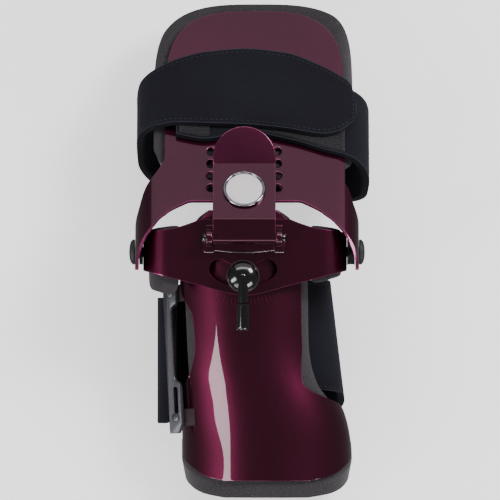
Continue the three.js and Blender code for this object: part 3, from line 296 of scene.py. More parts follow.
def rim_distance(points, columns, rows):
    """How far each point of a grid lies from its rim, in mm."""
    g = points.reshape(rows + 1, columns + 1, 3)
    out = np.full(g.shape[:2], 1e9)
    for axis in (0, 1):
        step = np.linalg.norm(np.diff(g, axis=axis), axis=2)
        pad = [(1, 0) if a == axis else (0, 0) for a in (0, 1)]
        run = np.pad(np.cumsum(step, axis=axis), pad)
        out = np.minimum(out, np.minimum(run, run.max(axis=axis, keepdims=True) - run))
    return out.reshape(-1)


def sheet_mesh(columns, rows, place, matrix, wall, rim, steps=3, lies=False, under=True):
    """A closed thick sheet with rounded rims. place(u, v) gives points and outward normals in mm, for u and
    v in 0..1. lies: it is pressed flat where it lies on the floor. under: its lower rims are rounded too."""
    bm = bmesh.new()
    bmesh.ops.create_grid(bm, x_segments=columns, y_segments=rows, size=1)
    spots = np.array([v.co for v in bm.verts]) * 0.5 + 0.5
    order = np.lexsort((spots[:, 0], spots[:, 1]))
    u, v = spots[order, 0], spots[order, 1]
    point, normal = place(u, v)
    normal = normal / np.linalg.norm(normal, axis=1, keepdims=True)
    edge = rim_distance(point, columns, rows)
    outer, inner = moved(point, matrix), moved(point - normal * wall, matrix)
    if lies:
        outer[:, 2] = np.maximum(outer[:, 2], 0)
        inner[:, 2] = np.maximum(inner[:, 2], wall * 0.001)
    slot_of = np.empty(len(order), int)
    slot_of[order] = np.arange(len(order))
    ident = bm.verts.layers.int.new("ident")
    mark = bm.verts.layers.float.new("edge_mm")
    grid = list(bm.verts)
    for vert, k in zip(grid, slot_of):
        vert[ident] = int(k)
        vert[mark] = edge[k]
    made = bmesh.ops.extrude_face_region(bm, geom=bm.faces[:])
    for vert in grid:
        vert.co = outer[vert[ident]]
    for item in made["geom"]:
        if isinstance(item, bmesh.types.BMVert):
            item.co = inner[item[ident]]
    bmesh.ops.recalc_face_normals(bm, faces=bm.faces[:])
    if rim:
        upper = set(grid)
        round_corners(bm, rim, steps, 60, lambda e: under or upper.issuperset(e.verts))
    return bm


def round_corners(bm, width, steps, angle=35, chosen=lambda edge: True):
    """Rounds every chosen edge that is sharper than an angle. width in mm."""
    bm.normal_update()
    sharp = [e for e in bm.edges
             if len(e.link_faces) == 2 and e.calc_face_angle(0) > rad(angle) and chosen(e)]
    bmesh.ops.bevel(bm, geom=sharp, offset=width * 0.001, offset_type="OFFSET", segments=steps, profile=0.5,
                    affect="EDGES", clamp_overlap=True, material=-1)


def lathe(profile, matrix, sides):
    """A solid turned about Z from pairs of radius and height in mm. Off the axis, the profile closes on
    itself."""
    bm = bmesh.new()
    verts = [bm.verts.new((r, 0, z)) for r, z in profile]
    edges = [bm.edges.new(pair) for pair in zip(verts, verts[1:])]
    if profile[0][0] > 0:
        edges.append(bm.edges.new((verts[-1], verts[0])))
    bmesh.ops.spin(bm, geom=verts + edges, cent=(0, 0, 0), axis=(0, 0, 1), angle=2 * math.pi, steps=sides,
                   use_merge=True)
    bmesh.ops.remove_doubles(bm, verts=bm.verts[:], dist=1e-5)
    bmesh.ops.transform(bm, matrix=matrix, verts=bm.verts[:])
    bmesh.ops.recalc_face_normals(bm, faces=bm.faces[:])
    return bm


def peg(radius, low, high, matrix, sides=48):
    """A plain round peg, to cut a hole with."""
    return lathe([(0, low), (radius, low), (radius, high), (0, high)], matrix, sides)


def slab(outline, low, high, matrix, width=0.0, steps=2):
    """A flat blank of an outline in mm, with rounded edges."""
    bm = bmesh.new()
    mark = bm.verts.layers.float.new("edge_mm")
    face = bm.faces.new([bm.verts.new((x, y, low)) for x, y in outline])
    top = bmesh.ops.extrude_face_region(bm, geom=[face])
    bmesh.ops.translate(bm, verts=[v for v in top["geom"] if isinstance(v, bmesh.types.BMVert)],
                        vec=(0, 0, high - low))
    for vert in bm.verts:
        vert[mark] = FAR_FROM_RIM
    bmesh.ops.transform(bm, matrix=matrix, verts=bm.verts[:])
    bmesh.ops.recalc_face_normals(bm, faces=bm.faces[:])
    if width:
        round_corners(bm, width, steps)
    return bm


def joined(*parts):
    """Several pieces' shapes as one."""
    whole = bmesh.new()
    for part in parts:
        mesh = bpy.data.meshes.new("part")
        part.to_mesh(mesh)
        part.free()
        whole.from_mesh(mesh)
        bpy.data.meshes.remove(mesh)
    return whole


def cut_with(made, *tools, overlaps=False):
    """Cuts holes in a piece and keeps the result as its mesh. overlaps: its parts are fused first."""
    tool = as_object("tool", joined(*tools))
    cutter = made.modifiers.new("cut", "BOOLEAN")
    cutter.object, cutter.solver, cutter.use_self = tool, "EXACT", overlaps
    graph = bpy.context.evaluated_depsgraph_get()
    mesh = bpy.data.meshes.new_from_object(made.evaluated_get(graph))
    old = made.data
    made.modifiers.clear()
    made.data = mesh
    bpy.data.meshes.remove(old)
    bpy.data.objects.remove(tool)
    mesh.name = made.name
    return made


def arc(x, y, radius, start, end, steps):
    """Points of an arc, in degrees."""
    turns = [rad(start + (end - start) * i / steps) for i in range(steps + 1)]
    return [(x + radius * math.cos(t), y + radius * math.sin(t)) for t in turns]


def clean(outline):
    """The outline without points that lie on the next one."""
    return [p for p, q in zip(outline, outline[1:] + outline[:1]) if math.dist(p, q) > 1e-3]


def lerp(a, b, t):
    return a + (b - a) * t


def stacked(*parts):
    return np.stack(np.broadcast_arrays(*parts), axis=1).astype(float)


# Forearm shell. Columns: share of the length from the front, centre and width in shares of the half width,
# depth in shares of the depth, and the degrees that it reaches to the left and to the right
FRONT, LENGTH, HALF, DEPTH = 20.0, 135.5, 42.5, 30.0
SHELL_WALL, FOAM_WALL, FOAM_GAP = 1.6, 4, 0.7
RIVET_HOLE, PIVOT_HOLE = 3.3, 2.8
FOREARM = [
    (0.0, -0.02, 0.85, 0.67, 26, 26), (0.02, -0.02, 0.85, 0.67, 33, 33), (0.09, 0.0, 0.85, 0.75, 46, 46),
    (0.2, 0.01, 0.85, 0.8, 62, 51), (0.28, 0.02, 0.85, 0.82, 68, 49.5), (0.4, 0.035, 0.85, 0.84, 50, 48),
    (0.5, 0.05, 0.85, 0.86, 49, 47), (0.59, 0.09, 0.87, 0.88, 57, 41), (0.64, 0.13, 0.89, 0.9, 69, 38),
    (0.665, 0.155, 0.91, 0.91, 84, 42), (0.69, 0.175, 0.93, 0.92, 96, 55), (0.73, 0.2, 0.955, 0.94, 98, 84),
    (0.8, 0.24, 0.985, 0.97, 98, 98), (0.89, 0.26, 1.0, 1.0, 90, 92), (0.95, 0.26, 1.0, 1.0, 62, 66),
    (0.985, 0.26, 1.0, 1.0, 45, 46), (1.0, 0.26, 1.0, 1.0, 30, 28),
]
# Foam. Columns: share of the length, and the degrees to the left and to the right
FOREARM_FOAM = [
    (0.0, 30, 30), (0.03, 42, 42), (0.12, 60, 58), (0.25, 66, 64), (0.4, 66, 62), (0.6, 68, 58),
    (0.68, 92, 70), (0.78, 106, 105), (0.86, 108, 108), (0.91, 98, 98), (0.95, 77, 79), (0.985, 52, 53),
    (1.0, 32, 30),
]


def forearm_at(along, turn, inset):
    """Points of the forearm's arch and their outward normals. turn is in degrees round it."""
    at = np.asarray(along, float) / LENGTH
    sizes = ((1, HALF), (2, HALF), (3, DEPTH))
    centre, width, depth = (eased(FOREARM, key, at, 0.055) * size for key, size in sizes)
    angle = np.radians(np.clip(turn, -90, 90))
    past = np.radians(np.maximum(np.abs(turn) - 90, 0)) * depth
    normal = stacked(np.sin(angle) / width, 0 * at, np.cos(angle) / depth)
    normal /= np.linalg.norm(normal, axis=1, keepdims=True)
    point = stacked(centre + width * np.sin(angle), FRONT - along, -depth * (1 - np.cos(angle)) - past)
    return point - normal * inset, normal


def splayed(point, along, turn):
    """The foam bulges outward by up to 2.6 mm under the shell's lower edges near the rear."""
    share = along / LENGTH
    edge = np.where(turn > 0, eased(FOREARM, 5, share, 0.02), eased(FOREARM, 4, share, 0.02))
    amount = np.clip((np.abs(turn) - edge - 2) / 10, 0, 1)
    amount *= np.clip((share - 0.74) / 0.1, 0, 1) * np.clip((1.02 - share) / 0.1, 0, 1)
    point[:, 0] += np.sign(turn) * amount * 2.6
    return point


def arch(rows, left, right, length, inset, wall, columns, steps, rim):
    """A sheet that follows the arch between the edges of a table. Inset from the shell, it is the foam."""
    def place(u, v):
        at = 0.5 * v + 0.25 * (1 - np.cos(math.pi * v))
        start, end = column(rows, right, at), -column(rows, left, at)
        turn = start + (end - start) * u
        point, normal = forearm_at(at * length, turn, inset)
        return (splayed(point, at * length, turn) if inset else point), normal
    return sheet_mesh(columns, steps, place, DEVICE, wall, rim)


# The strap bar lies beside the shell's left edge, turned and tipped with it
BAR_LENGTH, BAR_AHEAD, RIVETS = 78, 14, {"front": 0.1, "rear": 0.9}
bar_along = np.array([FRONT + BAR_AHEAD])
bar_edge = forearm_at(bar_along, -column(FOREARM, 4, bar_along / LENGTH), 0)[0][0]
BAR = DEVICE @ placed(bar_edge[0] - 5.3, -BAR_AHEAD, bar_edge[2] - 1.3, rad(2.9), "Z")
BAR = BAR @ Matrix.Rotation(rad(-32), 4, "Y")


def bar_tabs(room=0.0, width=0.3):
    """The tabs between the bar and the shell or, with room round them, the notches that they need."""
    tabs = []
    for share in RIVETS.values():
        low, high = -BAR_LENGTH * share - 4.3 - room, -BAR_LENGTH * share + 4.3 + room
        outline = [(-3.8 - room, low), (9.8 + room, low), (9.8 + room, high), (-3.8 - room, high)]
        tabs.append(slab(outline, -3.15 - room, -1.55 + room, BAR, width))
    return tabs


shell = as_object("forearm_paint", arch(FOREARM, 4, 5, LENGTH, 0, SHELL_WALL, 110, 150, 0.35), PAINT)
cut_with(shell, peg(RIVET_HOLE, -6, 4, DEVICE @ Matrix.Translation(SWIVEL)), peg(2.9, -6, 4, CLAMP))
finished(shell, "forearm", ["forearm_shell"])
# The tabs get painted shade: dark matt burgundy, as they lie under the bar
tabs = as_object("bar_tabs", joined(*bar_tabs()), TAB_SHADE_PAINT)
finished(tabs, "forearm")

liner = arch(FOREARM_FOAM, 1, 2, LENGTH + 8.5, SHELL_WALL + FOAM_GAP, FOAM_WALL, 90, 150, 0.7)
foam = as_object("forearm_liner", liner, FOAM)
cut_with(foam, *bar_tabs(0.3, 0))
finished(foam, "forearm", ["forearm_pad"])


# Sheets that are flat, turn down through a bend and then hang straight


def folded(s, flat, radius):
    """x, z and the normal's x and z at a length s from the middle of such a sheet."""
    side = np.where(s < 0, -1.0, 1.0)
    past = np.abs(s) - flat
    turn = np.clip(past / radius, 0, math.pi / 2)
    straight = np.maximum(past - radius * math.pi / 2, 0)
    x = side * (np.minimum(np.abs(s), flat) + radius * np.sin(turn))
    return x, -radius * (1 - np.cos(turn)) - straight, side * np.sin(turn), np.cos(turn)


# Yoke. Columns: share of the way from its middle to the end of the bend, and how far its front and its rear
# edge have moved to the lug
YOKE_HALF, YOKE_BEND, YOKE_WALL, YOKE_TOP = 51.0, 13.0, 2.0, 2.3
LUG, PIVOT_Y, PIVOT_Z = 9.0, -1.0, -28.0
YOKE = [(0.0, 0.0, 0.0), (0.1, 0.0, 0.06), (0.28, 0.0, 0.27), (0.37, 0.0, 0.39), (0.45, 0.22, 0.48),
        (0.62, 0.62, 0.68), (0.8, 0.8, 0.88), (1.0, 1.0, 1.0)]
YOKE_FLAT = YOKE_HALF - YOKE_BEND
YOKE_END = YOKE_FLAT + YOKE_BEND * math.pi / 2


def yoke_edges(s):
    """The front and rear edge of the yoke at a length from its middle."""
    length = np.abs(s)
    at = length / YOKE_END
    front = lerp(15.5, PIVOT_Y + LUG, eased(YOKE, 1, at, 0.02))
    rear = lerp(-23.0, PIVOT_Y - LUG, eased(YOKE, 2, at, 0.02))
    below = np.clip((PIVOT_Z - folded(s, YOKE_FLAT, YOKE_BEND)[1] - YOKE_TOP) / LUG, 0, 1)
    half = LUG * np.sqrt(np.maximum(1 - below ** 2, 0))
    hanging = length > YOKE_END
    return np.where(hanging, PIVOT_Y + half, front), np.where(hanging, PIVOT_Y - half, rear)


def toward_ends(u, reach):
    """Lengths from -reach to reach with finer steps toward both ends."""
    t = 2 * u - 1
    return reach * lerp(t, np.sin(t * math.pi / 2), 0.12)


def yoke_place(u, v):
    pivot = YOKE_END - YOKE_BEND - PIVOT_Z + YOKE_TOP
    s = toward_ends(u, pivot + LUG * 0.999)
    x, z, nx, nz = folded(s, YOKE_FLAT, YOKE_BEND)
    front, rear = yoke_edges(s)
    return stacked(x, lerp(rear, front, v), z + YOKE_TOP), stacked(nx, 0 * s, nz)


def slot_loop(half, z):
    """The outline of the clamp's curved slot about the swivel."""
    sweep, radius = 32.7, 22.2
    ends = [(radius * math.cos(rad(a)), radius * math.sin(rad(a))) for a in (-90 + sweep, -90 - sweep)]
    outline = arc(0, 0, radius + half, -90 - sweep, -90 + sweep, 24)
    outline += arc(*ends[0], half, -90 + sweep, 90 + sweep, 12)[1:]
    outline += arc(0, 0, radius - half, -90 + sweep, -90 - sweep, 24)[1:]
    outline += arc(*ends[1], half, 90 - sweep, 270 - sweep, 12)[1:-1]
    return [(x + SWIVEL.x, y + SWIVEL.y, z) for x, y in outline]


def loft(loops, matrix):
    """A solid through loops of as many points each, closed at both ends."""
    bm = bmesh.new()
    rings = [[bm.verts.new(p) for p in loop] for loop in loops]
    for low, high in zip(rings, rings[1:]):
        for i in range(len(low)):
            j = (i + 1) % len(low)
            bm.faces.new((low[i], low[j], high[j], high[i]))
    bm.faces.new(rings[0][::-1])
    bm.faces.new(rings[-1])
    bmesh.ops.transform(bm, matrix=matrix, verts=bm.verts[:])
    bmesh.ops.recalc_face_normals(bm, faces=bm.faces[:])
    return bm


yoke = as_object("yoke_paint", sheet_mesh(190, 44, yoke_place, DEVICE, YOKE_WALL, 0.4), PAINT)
slot = loft([slot_loop(4.9, -2), slot_loop(4.9, 1.95), slot_loop(5.3, 2.35), slot_loop(5.3, 4)], DEVICE)
across = Matrix.Rotation(math.pi / 2, 4, "Y")
pin_hole = peg(PIVOT_HOLE, -60, 60, DEVICE @ placed(0, PIVOT_Y, PIVOT_Z) @ across)
cut_with(yoke, slot, pin_hole, peg(RIVET_HOLE, -2, 5, DEVICE @ Matrix.Translation(SWIVEL)))
finished(yoke, "yoke", ["yoke_plate"])


def wing_foam(side):
    """Foam under an end of the yoke, proud of it toward the forearm."""
    proud = 9 if side < 0 else 2.5

    def place(u, v):
        s = side * lerp(YOKE_FLAT * 0.87, YOKE_END * 0.97, 1 - u if side < 0 else u)
        front, rear = yoke_edges(s)
        full = np.sqrt(np.maximum(1 - (2 * u - 1) ** 4, 0))
        x, z, nx, nz = folded(s, YOKE_FLAT, YOKE_BEND)
        normal = stacked(nx, 0 * s, nz)
        y = lerp(rear - proud * full, front + 1.5 * full, v)
        return stacked(x, y, z + YOKE_TOP) - normal * (YOKE_WALL + FOAM_GAP), normal
    name = "left" if side < 0 else "right"
    made = as_object("wing_foam_" + name, sheet_mesh(40, 50, place, DEVICE, 3.5, 0.6), FOAM)
    finished(made, "yoke", ["wing_pad_" + name])


wing_foam(-1)
wing_foam(1)

# Hand shell. Columns: share of the way from its middle part to the end of the bend, and how far its rear and
# its front edge have moved to the lug
SHOULDER = [(0.0, 0.0, 0.0), (0.27, 0.17, 0.0), (0.35, 0.25, 0.0), (0.4, 0.29, 0.14), (0.51, 0.42, 0.3),
            (0.66, 0.58, 0.5), (0.8, 0.74, 0.8), (1.0, 1.0, 1.0)]
HAND_LENGTH, HAND_REAR, HAND_SHOULDER = 117.0, 28.0, 26.0
# Half width at the lugs, half width of the plate, and bend radius, on the left and the right
HAND_SIDES = {-1: (55.0, 40.0, 14.0), 1: (57.0, 50.0, 12.0)}
pivot_back = Matrix.Rotation(DROOP, 3, "X") @ Vector((0, PIVOT_Y - 24.5, PIVOT_Z + 3.1))
HOLES = [(side * 16.55 - 0.4, 8 + 7.5 * i) for i in range(4) for side in (-1, 1)]


def lug_edges(z):
    """The edges of the hand shell's lugs, which stand upright on the forearm and end in a half circle."""
    middle = pivot_back.y - (z - pivot_back.z) * math.tan(DROOP)
    half = LUG / math.cos(DROOP)
    cap = np.sqrt(np.maximum(LUG ** 2 - (z - pivot_back.z) ** 2, 0))
    level = pivot_back.y + (z - pivot_back.z) / math.tan(DROOP)
    high = np.maximum(np.minimum(middle + half, level), pivot_back.y + cap)
    low = np.where(middle - half < level, np.minimum(middle - half, pivot_back.y - cap), pivot_back.y - cap)
    return low, high


def hand_front(s):
    """The rounded tip of the hand shell."""
    share = np.clip(np.abs(s - 5) / 45, 0, 1)
    return HAND_LENGTH * (0.52 + 0.48 * (1 - share ** 3.2) ** (1 / 3.2))


def hand_edges(s, side):
    """The rear and front edge of the hand shell at a length from its middle."""
    width, edge, bend = HAND_SIDES[side]
    flat = width - bend
    end = flat + bend * math.pi / 2
    length = np.abs(s)
    lug_low, lug_high = lug_edges(folded(s, flat, bend)[1])
    start_low, start_high = lug_edges(np.array(-bend))
    at = (length - HAND_REAR) / (end - HAND_REAR)
    low = eased(SHOULDER, 1, at, 0.03) * start_low
    high = lerp(HAND_SHOULDER, start_high, eased(SHOULDER, 2, at, 0.03))
    high = np.where(length <= edge, hand_front(s), high)
    hanging = length > end
    return np.where(hanging, lug_low, low), np.where(hanging, lug_high, high)


def hand_columns(side, count):
    """Places across one side of the hand shell: fine near the plate's side edge and near the tip."""
    width, edge, bend = HAND_SIDES[side]
    end = width - bend + bend * math.pi / 2
    tip = end - bend - pivot_back.z + LUG * 0.999
    t = np.linspace(0, 1, count)
    late = np.sin(t * math.pi / 2)
    return np.concatenate([edge * late, lerp(edge + 0.3, tip, 0.75 * t + 0.25 * late)])


HAND_S = np.concatenate([-hand_columns(-1, 60)[1:][::-1], hand_columns(1, 60)])


def hand_at(s, y, inset):
    """Points of the hand shell and their outward normals."""
    point, normal = np.empty((len(s), 3)), np.empty((len(s), 3))
    for side in (-1, 1):
        on = s < 0 if side < 0 else s >= 0
        width, edge, bend = HAND_SIDES[side]
        x, z, nx, nz = folded(s[on], width - bend, bend)
        point[on], normal[on] = stacked(x, y[on], z), stacked(nx, 0 * nx, nz)
    return point - normal * inset, normal


def hand_place(u, v):
    s = HAND_S[np.rint(u * (len(HAND_S) - 1)).astype(int)]
    low, high = (np.where(s < 0, a, b) for a, b in zip(hand_edges(s, -1), hand_edges(s, 1)))
    return hand_at(s, lerp(low, high, v), 0)


hand = as_object("hand_paint", sheet_mesh(len(HAND_S) - 1, 110, hand_place, HAND, SHELL_WALL, 0.35), PAINT)
hole = [(0, -4), (2.0, -4), (2.0, -0.6), (2.15, -0.3), (2.65, 0.01), (2.65, 2), (0, 2)]
pin_hole = peg(PIVOT_HOLE, -65, 65, HAND @ placed(0, pivot_back.y, pivot_back.z) @ across)
cut_with(hand, pin_hole, *[lathe(hole, HAND @ placed(x, y, 0), 32) for x, y in HOLES])
finished(hand, "hand", ["hand_shell"])

# Rear edge of the hand's foam. Columns: share of its half width, and share of the shell's rear edge
LINER_REAR = [(0, 0.7), (0.5, 0.72), (0.8, 0.82), (0.93, 1.0), (1, 1.3)]


def hand_foam_place(u, v):
    share = -np.cos(u * math.pi)
    full = (1 - np.abs(share) ** 3.2) ** (1 / 3.2)
    high = (HAND_LENGTH + 6.1) * (0.52 + 0.48 * full)
    low = HAND_SHOULDER * column(LINER_REAR, 1, np.abs(share))
    return hand_at(6.5 + 53.5 * share, lerp(low, high, v), SHELL_WALL + FOAM_GAP)


foam = as_object("hand_liner", sheet_mesh(110, 110, hand_foam_place, HAND, FOAM_WALL, 0.7), FOAM)
finished(foam, "hand", ["hand_pad"])

# Straps, from end to end. Columns: share of the half width and of the depth, and the two edges in shares of
# the strap's reach along the arm
HAND_STRAP = [
    (0.9, 0.062, 0.15, 0.33), (0.88, 0.084, 0.065, 0.41), (0.84, 0.107, -0.01, 0.55),
    (0.752, 0.132, -0.12, 0.63), (0.64, 0.14, -0.163, 0.728), (0.32, 0.14, -0.087, 0.926),
    (0.0, 0.14, -0.037, 0.978), (-0.367, 0.14, -0.02, 0.935), (-0.624, 0.128, 0.0, 0.85),
    (-0.77, 0.084, 0.007, 0.79), (-0.9, 0.0, 0.015, 0.74), (-0.978, -0.14, 0.02, 0.707),
    (-1.0, -0.32, 0.02, 0.685), (-0.99, -0.6, 0.0, 0.65), (-0.88, -0.86, -0.04, 0.63),
    (-0.66, -1.0, -0.087, 0.61), (0.0, -1.03, -0.13, 0.587), (0.64, -0.99, -0.217, 0.565),
    (0.88, -0.84, -0.326, 0.533), (0.984, -0.6, -0.413, 0.5), (1.0, -0.34, -0.435, 0.489),
    (0.984, -0.2, -0.435, 0.496), (0.944, -0.09, -0.413, 0.504), (0.88, 0.0, -0.39, 0.51),
    (0.8, 0.052, -0.37, 0.52), (0.688, 0.066, -0.337, 0.53), (0.392, 0.066, -0.196, 0.65),
    (0.0, 0.066, -0.087, 0.7), (-0.367, 0.066, -0.174, 0.7), (-0.642, 0.066, -0.109, 0.65),
]
WRIST_STRAP = [
    (-0.78, 0.0, 0.06, 0.98), (-0.86, 0.01, 0.03, 0.99), (-0.93, 0.05, 0.01, 1.0), (-0.98, 0.13, 0.0, 1.0),
    (-1.0, 0.28, 0.0, 1.0), (-1.0, 0.5, 0.0, 1.0), (-0.97, 0.74, 0.0, 1.0), (-0.87, 0.92, 0.0, 1.0),
    (-0.7, 1.01, 0.0, 1.0), (0.0, 1.03, -0.03, 0.98), (0.66, 1.01, -0.08, 0.95), (0.86, 0.92, -0.1, 0.92),
    (0.96, 0.74, -0.12, 0.88), (1.0, 0.5, -0.13, 0.82), (0.99, 0.3, -0.14, 0.77), (0.95, 0.15, -0.14, 0.75),
    (0.85, 0.03, -0.14, 0.74), (0.7, -0.03, -0.14, 0.73), (0.6, -0.06, -0.14, 0.73),
]
STRAP_WALL = 3.0


def measured(rows):
    """The rows with their place along the strap in front, from 0 to 1."""
    run = np.cumsum([0] + [math.hypot(b[0] - a[0], b[1] - a[1]) for a, b in zip(rows, rows[1:])])
    return [(at, *row) for at, row in zip(run / run[-1], rows)]


HAND_ROWS, WRIST_ROWS = measured(HAND_STRAP), measured(WRIST_STRAP)


def hand_spot(t, u):
    """Points of the hand strap's outer face, t along it and u across it."""
    x = eased(HAND_ROWS, 1, t, 0.003)
    edge = lerp(eased(HAND_ROWS, 3, t, 0.002), eased(HAND_ROWS, 4, t, 0.002), u)
    return stacked(x * np.where(x < 0, 54.5, 62.5), 44 + edge * 46, eased(HAND_ROWS, 2, t, 0.003) * 50)


def wrist_spot(t, u):
    """Points of the wrist strap's outer face, down to the floor."""
    x = eased(WRIST_ROWS, 1, t, 0.005)
    edge = lerp(eased(WRIST_ROWS, 4, t, 0.005), eased(WRIST_ROWS, 3, t, 0.005), u)
    y = -24 - edge * 63
    floor = -(70 + y * math.sin(TILT)) / math.cos(TILT)
    z = lerp(-21, floor, eased(WRIST_ROWS, 2, t, 0.005))
    return stacked(x * np.where(x < 0, 44, 47 + (edge - 0.4) * 7.5), y, z)


def strap_place(spot):
    """The strap's points with their outward normals."""
    def place(u, v):
        ahead = spot(np.minimum(v + 1e-3, 1), u) - spot(np.maximum(v - 1e-3, 0), u)
        return spot(v, u), stacked(ahead[:, 2], 0 * u, -ahead[:, 0])
    return place


def flat_size(spot):
    """The width, length and area in metres of a strap laid flat."""
    t = np.linspace(0, 1, 400)
    middle = spot(t, np.full(400, 0.5))
    wide = np.linalg.norm(spot(t, np.ones(400)) - spot(t, np.zeros(400)), axis=1)
    step = np.linalg.norm(np.diff(middle, axis=0), axis=1)
    length, area = step.sum(), (step * (wide[1:] + wide[:-1]) / 2).sum()
    return (wide.max() * 0.001, length * 0.001), area * 1e-6


def strap(name, spot, matrix, body, node, columns, rows):
    sheet = sheet_mesh(columns, rows, strap_place(spot), matrix, STRAP_WALL, 0.45, 2, lies=True)
    return finished(as_object(name, sheet, CLOTH), body, [node], 50)


hand_strap = strap("hand_band", hand_spot, HAND, "hand", "hand_strap", 40, 520)
wrist_strap = strap("wrist_band", wrist_spot, DEVICE, "forearm", "wrist_strap", 50, 260)


# Half length, half width and height of a stitch, and how far one is from the next
STITCH, PITCH = (1.0, 0.2, 0.16), 2.6


def stitches(name, path, matrix, body):
    """A row of thread stitches along pairs of a point and its normal. Where the strap meets the floor there
    are none."""
    bm = bmesh.new()
    half, wide, high = STITCH
    for (a, na), (b, nb) in zip(path, path[1:]):
        along = (b - a).normalized()
        up = (na + nb).normalized()
        aside = along.cross(up)
        middle = (a + b) / 2
        if (matrix @ middle).z < 4e-4:
            continue
        tips = [middle + along * half, middle + aside * wide, middle - along * half, middle - aside * wide]
        crown = [middle + up * high + along * half * 0.6, middle + up * high - along * half * 0.6]
        verts = [bm.verts.new(matrix @ p) for p in tips + crown + [middle - up * high]]
        front, right, back, left, head, tail, root = verts
        for face in ((front, right, head), (right, tail, head), (right, back, tail), (back, left, tail),
                     (left, head, tail), (left, front, head), (right, front, root), (back, right, root),
                     (left, back, root), (front, left, root)):
            bm.faces.new(face)
    bmesh.ops.recalc_face_normals(bm, faces=bm.faces[:])
    finished(as_object(name, bm, THREAD), body, (), 80)


def surface_path(spot, places):
    """Points and normals a stitch apart along a line of (t, u) places on a strap."""
    t, u = np.array(places).T
    points, normals = strap_place(spot)(u, t)
    normals /= np.linalg.norm(normals, axis=1, keepdims=True)
    run = np.concatenate([[0], np.cumsum(np.linalg.norm(np.diff(points, axis=0), axis=1))])
    stops = np.arange(0, run[-1], PITCH)
    grid = [np.interp(stops, run, (points + normals * 0.02)[:, k]) for k in range(3)]
    ups = [np.interp(stops, run, normals[:, k]) for k in range(3)]
    return [(Vector(p), Vector(n)) for p, n in zip(zip(*grid), zip(*ups))]


def border(spot, start, end, inset):
    """Places along one edge, round the end at start and back along the other, an inset in mm inside."""
    times = np.linspace(start, end, 240)
    wide = np.linalg.norm(spot(times, np.ones(240)) - spot(times, np.zeros(240)), axis=1)
    return list(zip(times, inset / wide))[::-1] + list(zip(times, 1 - inset / wide))


seam = surface_path(hand_spot, border(hand_spot, 0.006, 0.34, 2.2))
stitches("hand_band_stitching", seam, HAND, "hand")
for name, share in (("wrist_band_stitching_rear", 0.035), ("wrist_band_stitching_front", 0.965)):
    line = [(t, share) for t in np.linspace(0.03, 0.97, 200)]
    stitches(name, surface_path(wrist_spot, line), DEVICE, "forearm")


def patch(name, t_range, u_range, columns, rows, seed):
    """A rough patch of touch fastener, its tips up to 0.8 mm proud of the hand strap's outer face."""
    rng = np.random.default_rng(seed)

    def place(u, v):
        t, w = lerp(*t_range, v), lerp(*u_range, u)
        points, normals = strap_place(hand_spot)(w, t)
        normals /= np.linalg.norm(normals, axis=1, keepdims=True)
        inside = (np.minimum(u, 1 - u) > 0.02) & (np.minimum(v, 1 - v) > 0.02)
        lift = 0.35 + 0.45 * rng.random(len(u)) ** 2 * inside
        return points + normals * lift[:, None], normals
    made = as_object(name, sheet_mesh(columns, rows, place, HAND, 0.45, 0), FUZZ)
    finished(made, "hand", (), 180)


patch("fastener_right", (0.795, 0.9), (0.035, 0.93), 90, 90, 3)
patch("fastener_left", (0.955, 0.995), (0.04, 0.9), 80, 60, 5)
for band, spot in ((hand_strap, hand_spot), (wrist_strap, wrist_spot)):
    flat, area = flat_size(spot)


def pin_bore():
    return peg(1.55, -20, 20, HINGE @ across, 32)


# Cup lever: a folded channel with rounded sides and a half-round tab
LEVER_HALF, LEVER_WALL, LEVER_RISE, FOLD_Y, PANEL = 15.75, 1.5, 3.0, 9.5, 34.0
PANEL_Y, PANEL_Z = FOLD_Y + PANEL * math.cos(DROOP), LEVER_RISE - PANEL * math.sin(DROOP)


def lever_line():
    """The channel's line in y and z with its normals: rolled tail, level top, small bend, sloping panel."""
    rows = [(LEVER_RISE * math.cos(t), LEVER_RISE * math.sin(t), math.cos(t), math.sin(t))
            for t in np.linspace(math.pi, math.pi / 2, 16)]
    bend = 0.8
    start = FOLD_Y - bend * math.tan(DROOP / 2)
    rows += [(y, LEVER_RISE, 0, 1) for y in np.linspace(0.4, start, 10)]
    rows += [(start + bend * math.sin(t), LEVER_RISE - bend * (1 - math.cos(t)), math.sin(t), math.cos(t))
             for t in np.linspace(0, DROOP, 8)[1:]]
    y, z = rows[-1][:2]
    rows += [(lerp(y, PANEL_Y, t), lerp(z, PANEL_Z, t), math.sin(DROOP), math.cos(DROOP))
             for t in np.linspace(0, 1, 30)[1:]]
    return np.array(rows)


LEVER = lever_line()


def lever_place(u, v):
    y, z, ny, nz = LEVER[np.rint((1 - v) * (len(LEVER) - 1)).astype(int)].T
    x = LEVER_HALF * (1 - 2 * u)
    return stacked(x, y, z), stacked(0 * x, ny, nz)


# Turns an outline drawn in y and z into a sheet that lies across X
SIDEWAYS = Matrix(((0, 0, 1, 0), (1, 0, 0, 0), (0, 1, 0, 0), (0, 0, 0, 1)))


def below(y, z, depth):
    """A point a depth under the sloping panel."""
    return y - depth * math.sin(DROOP), z - depth * math.cos(DROOP)


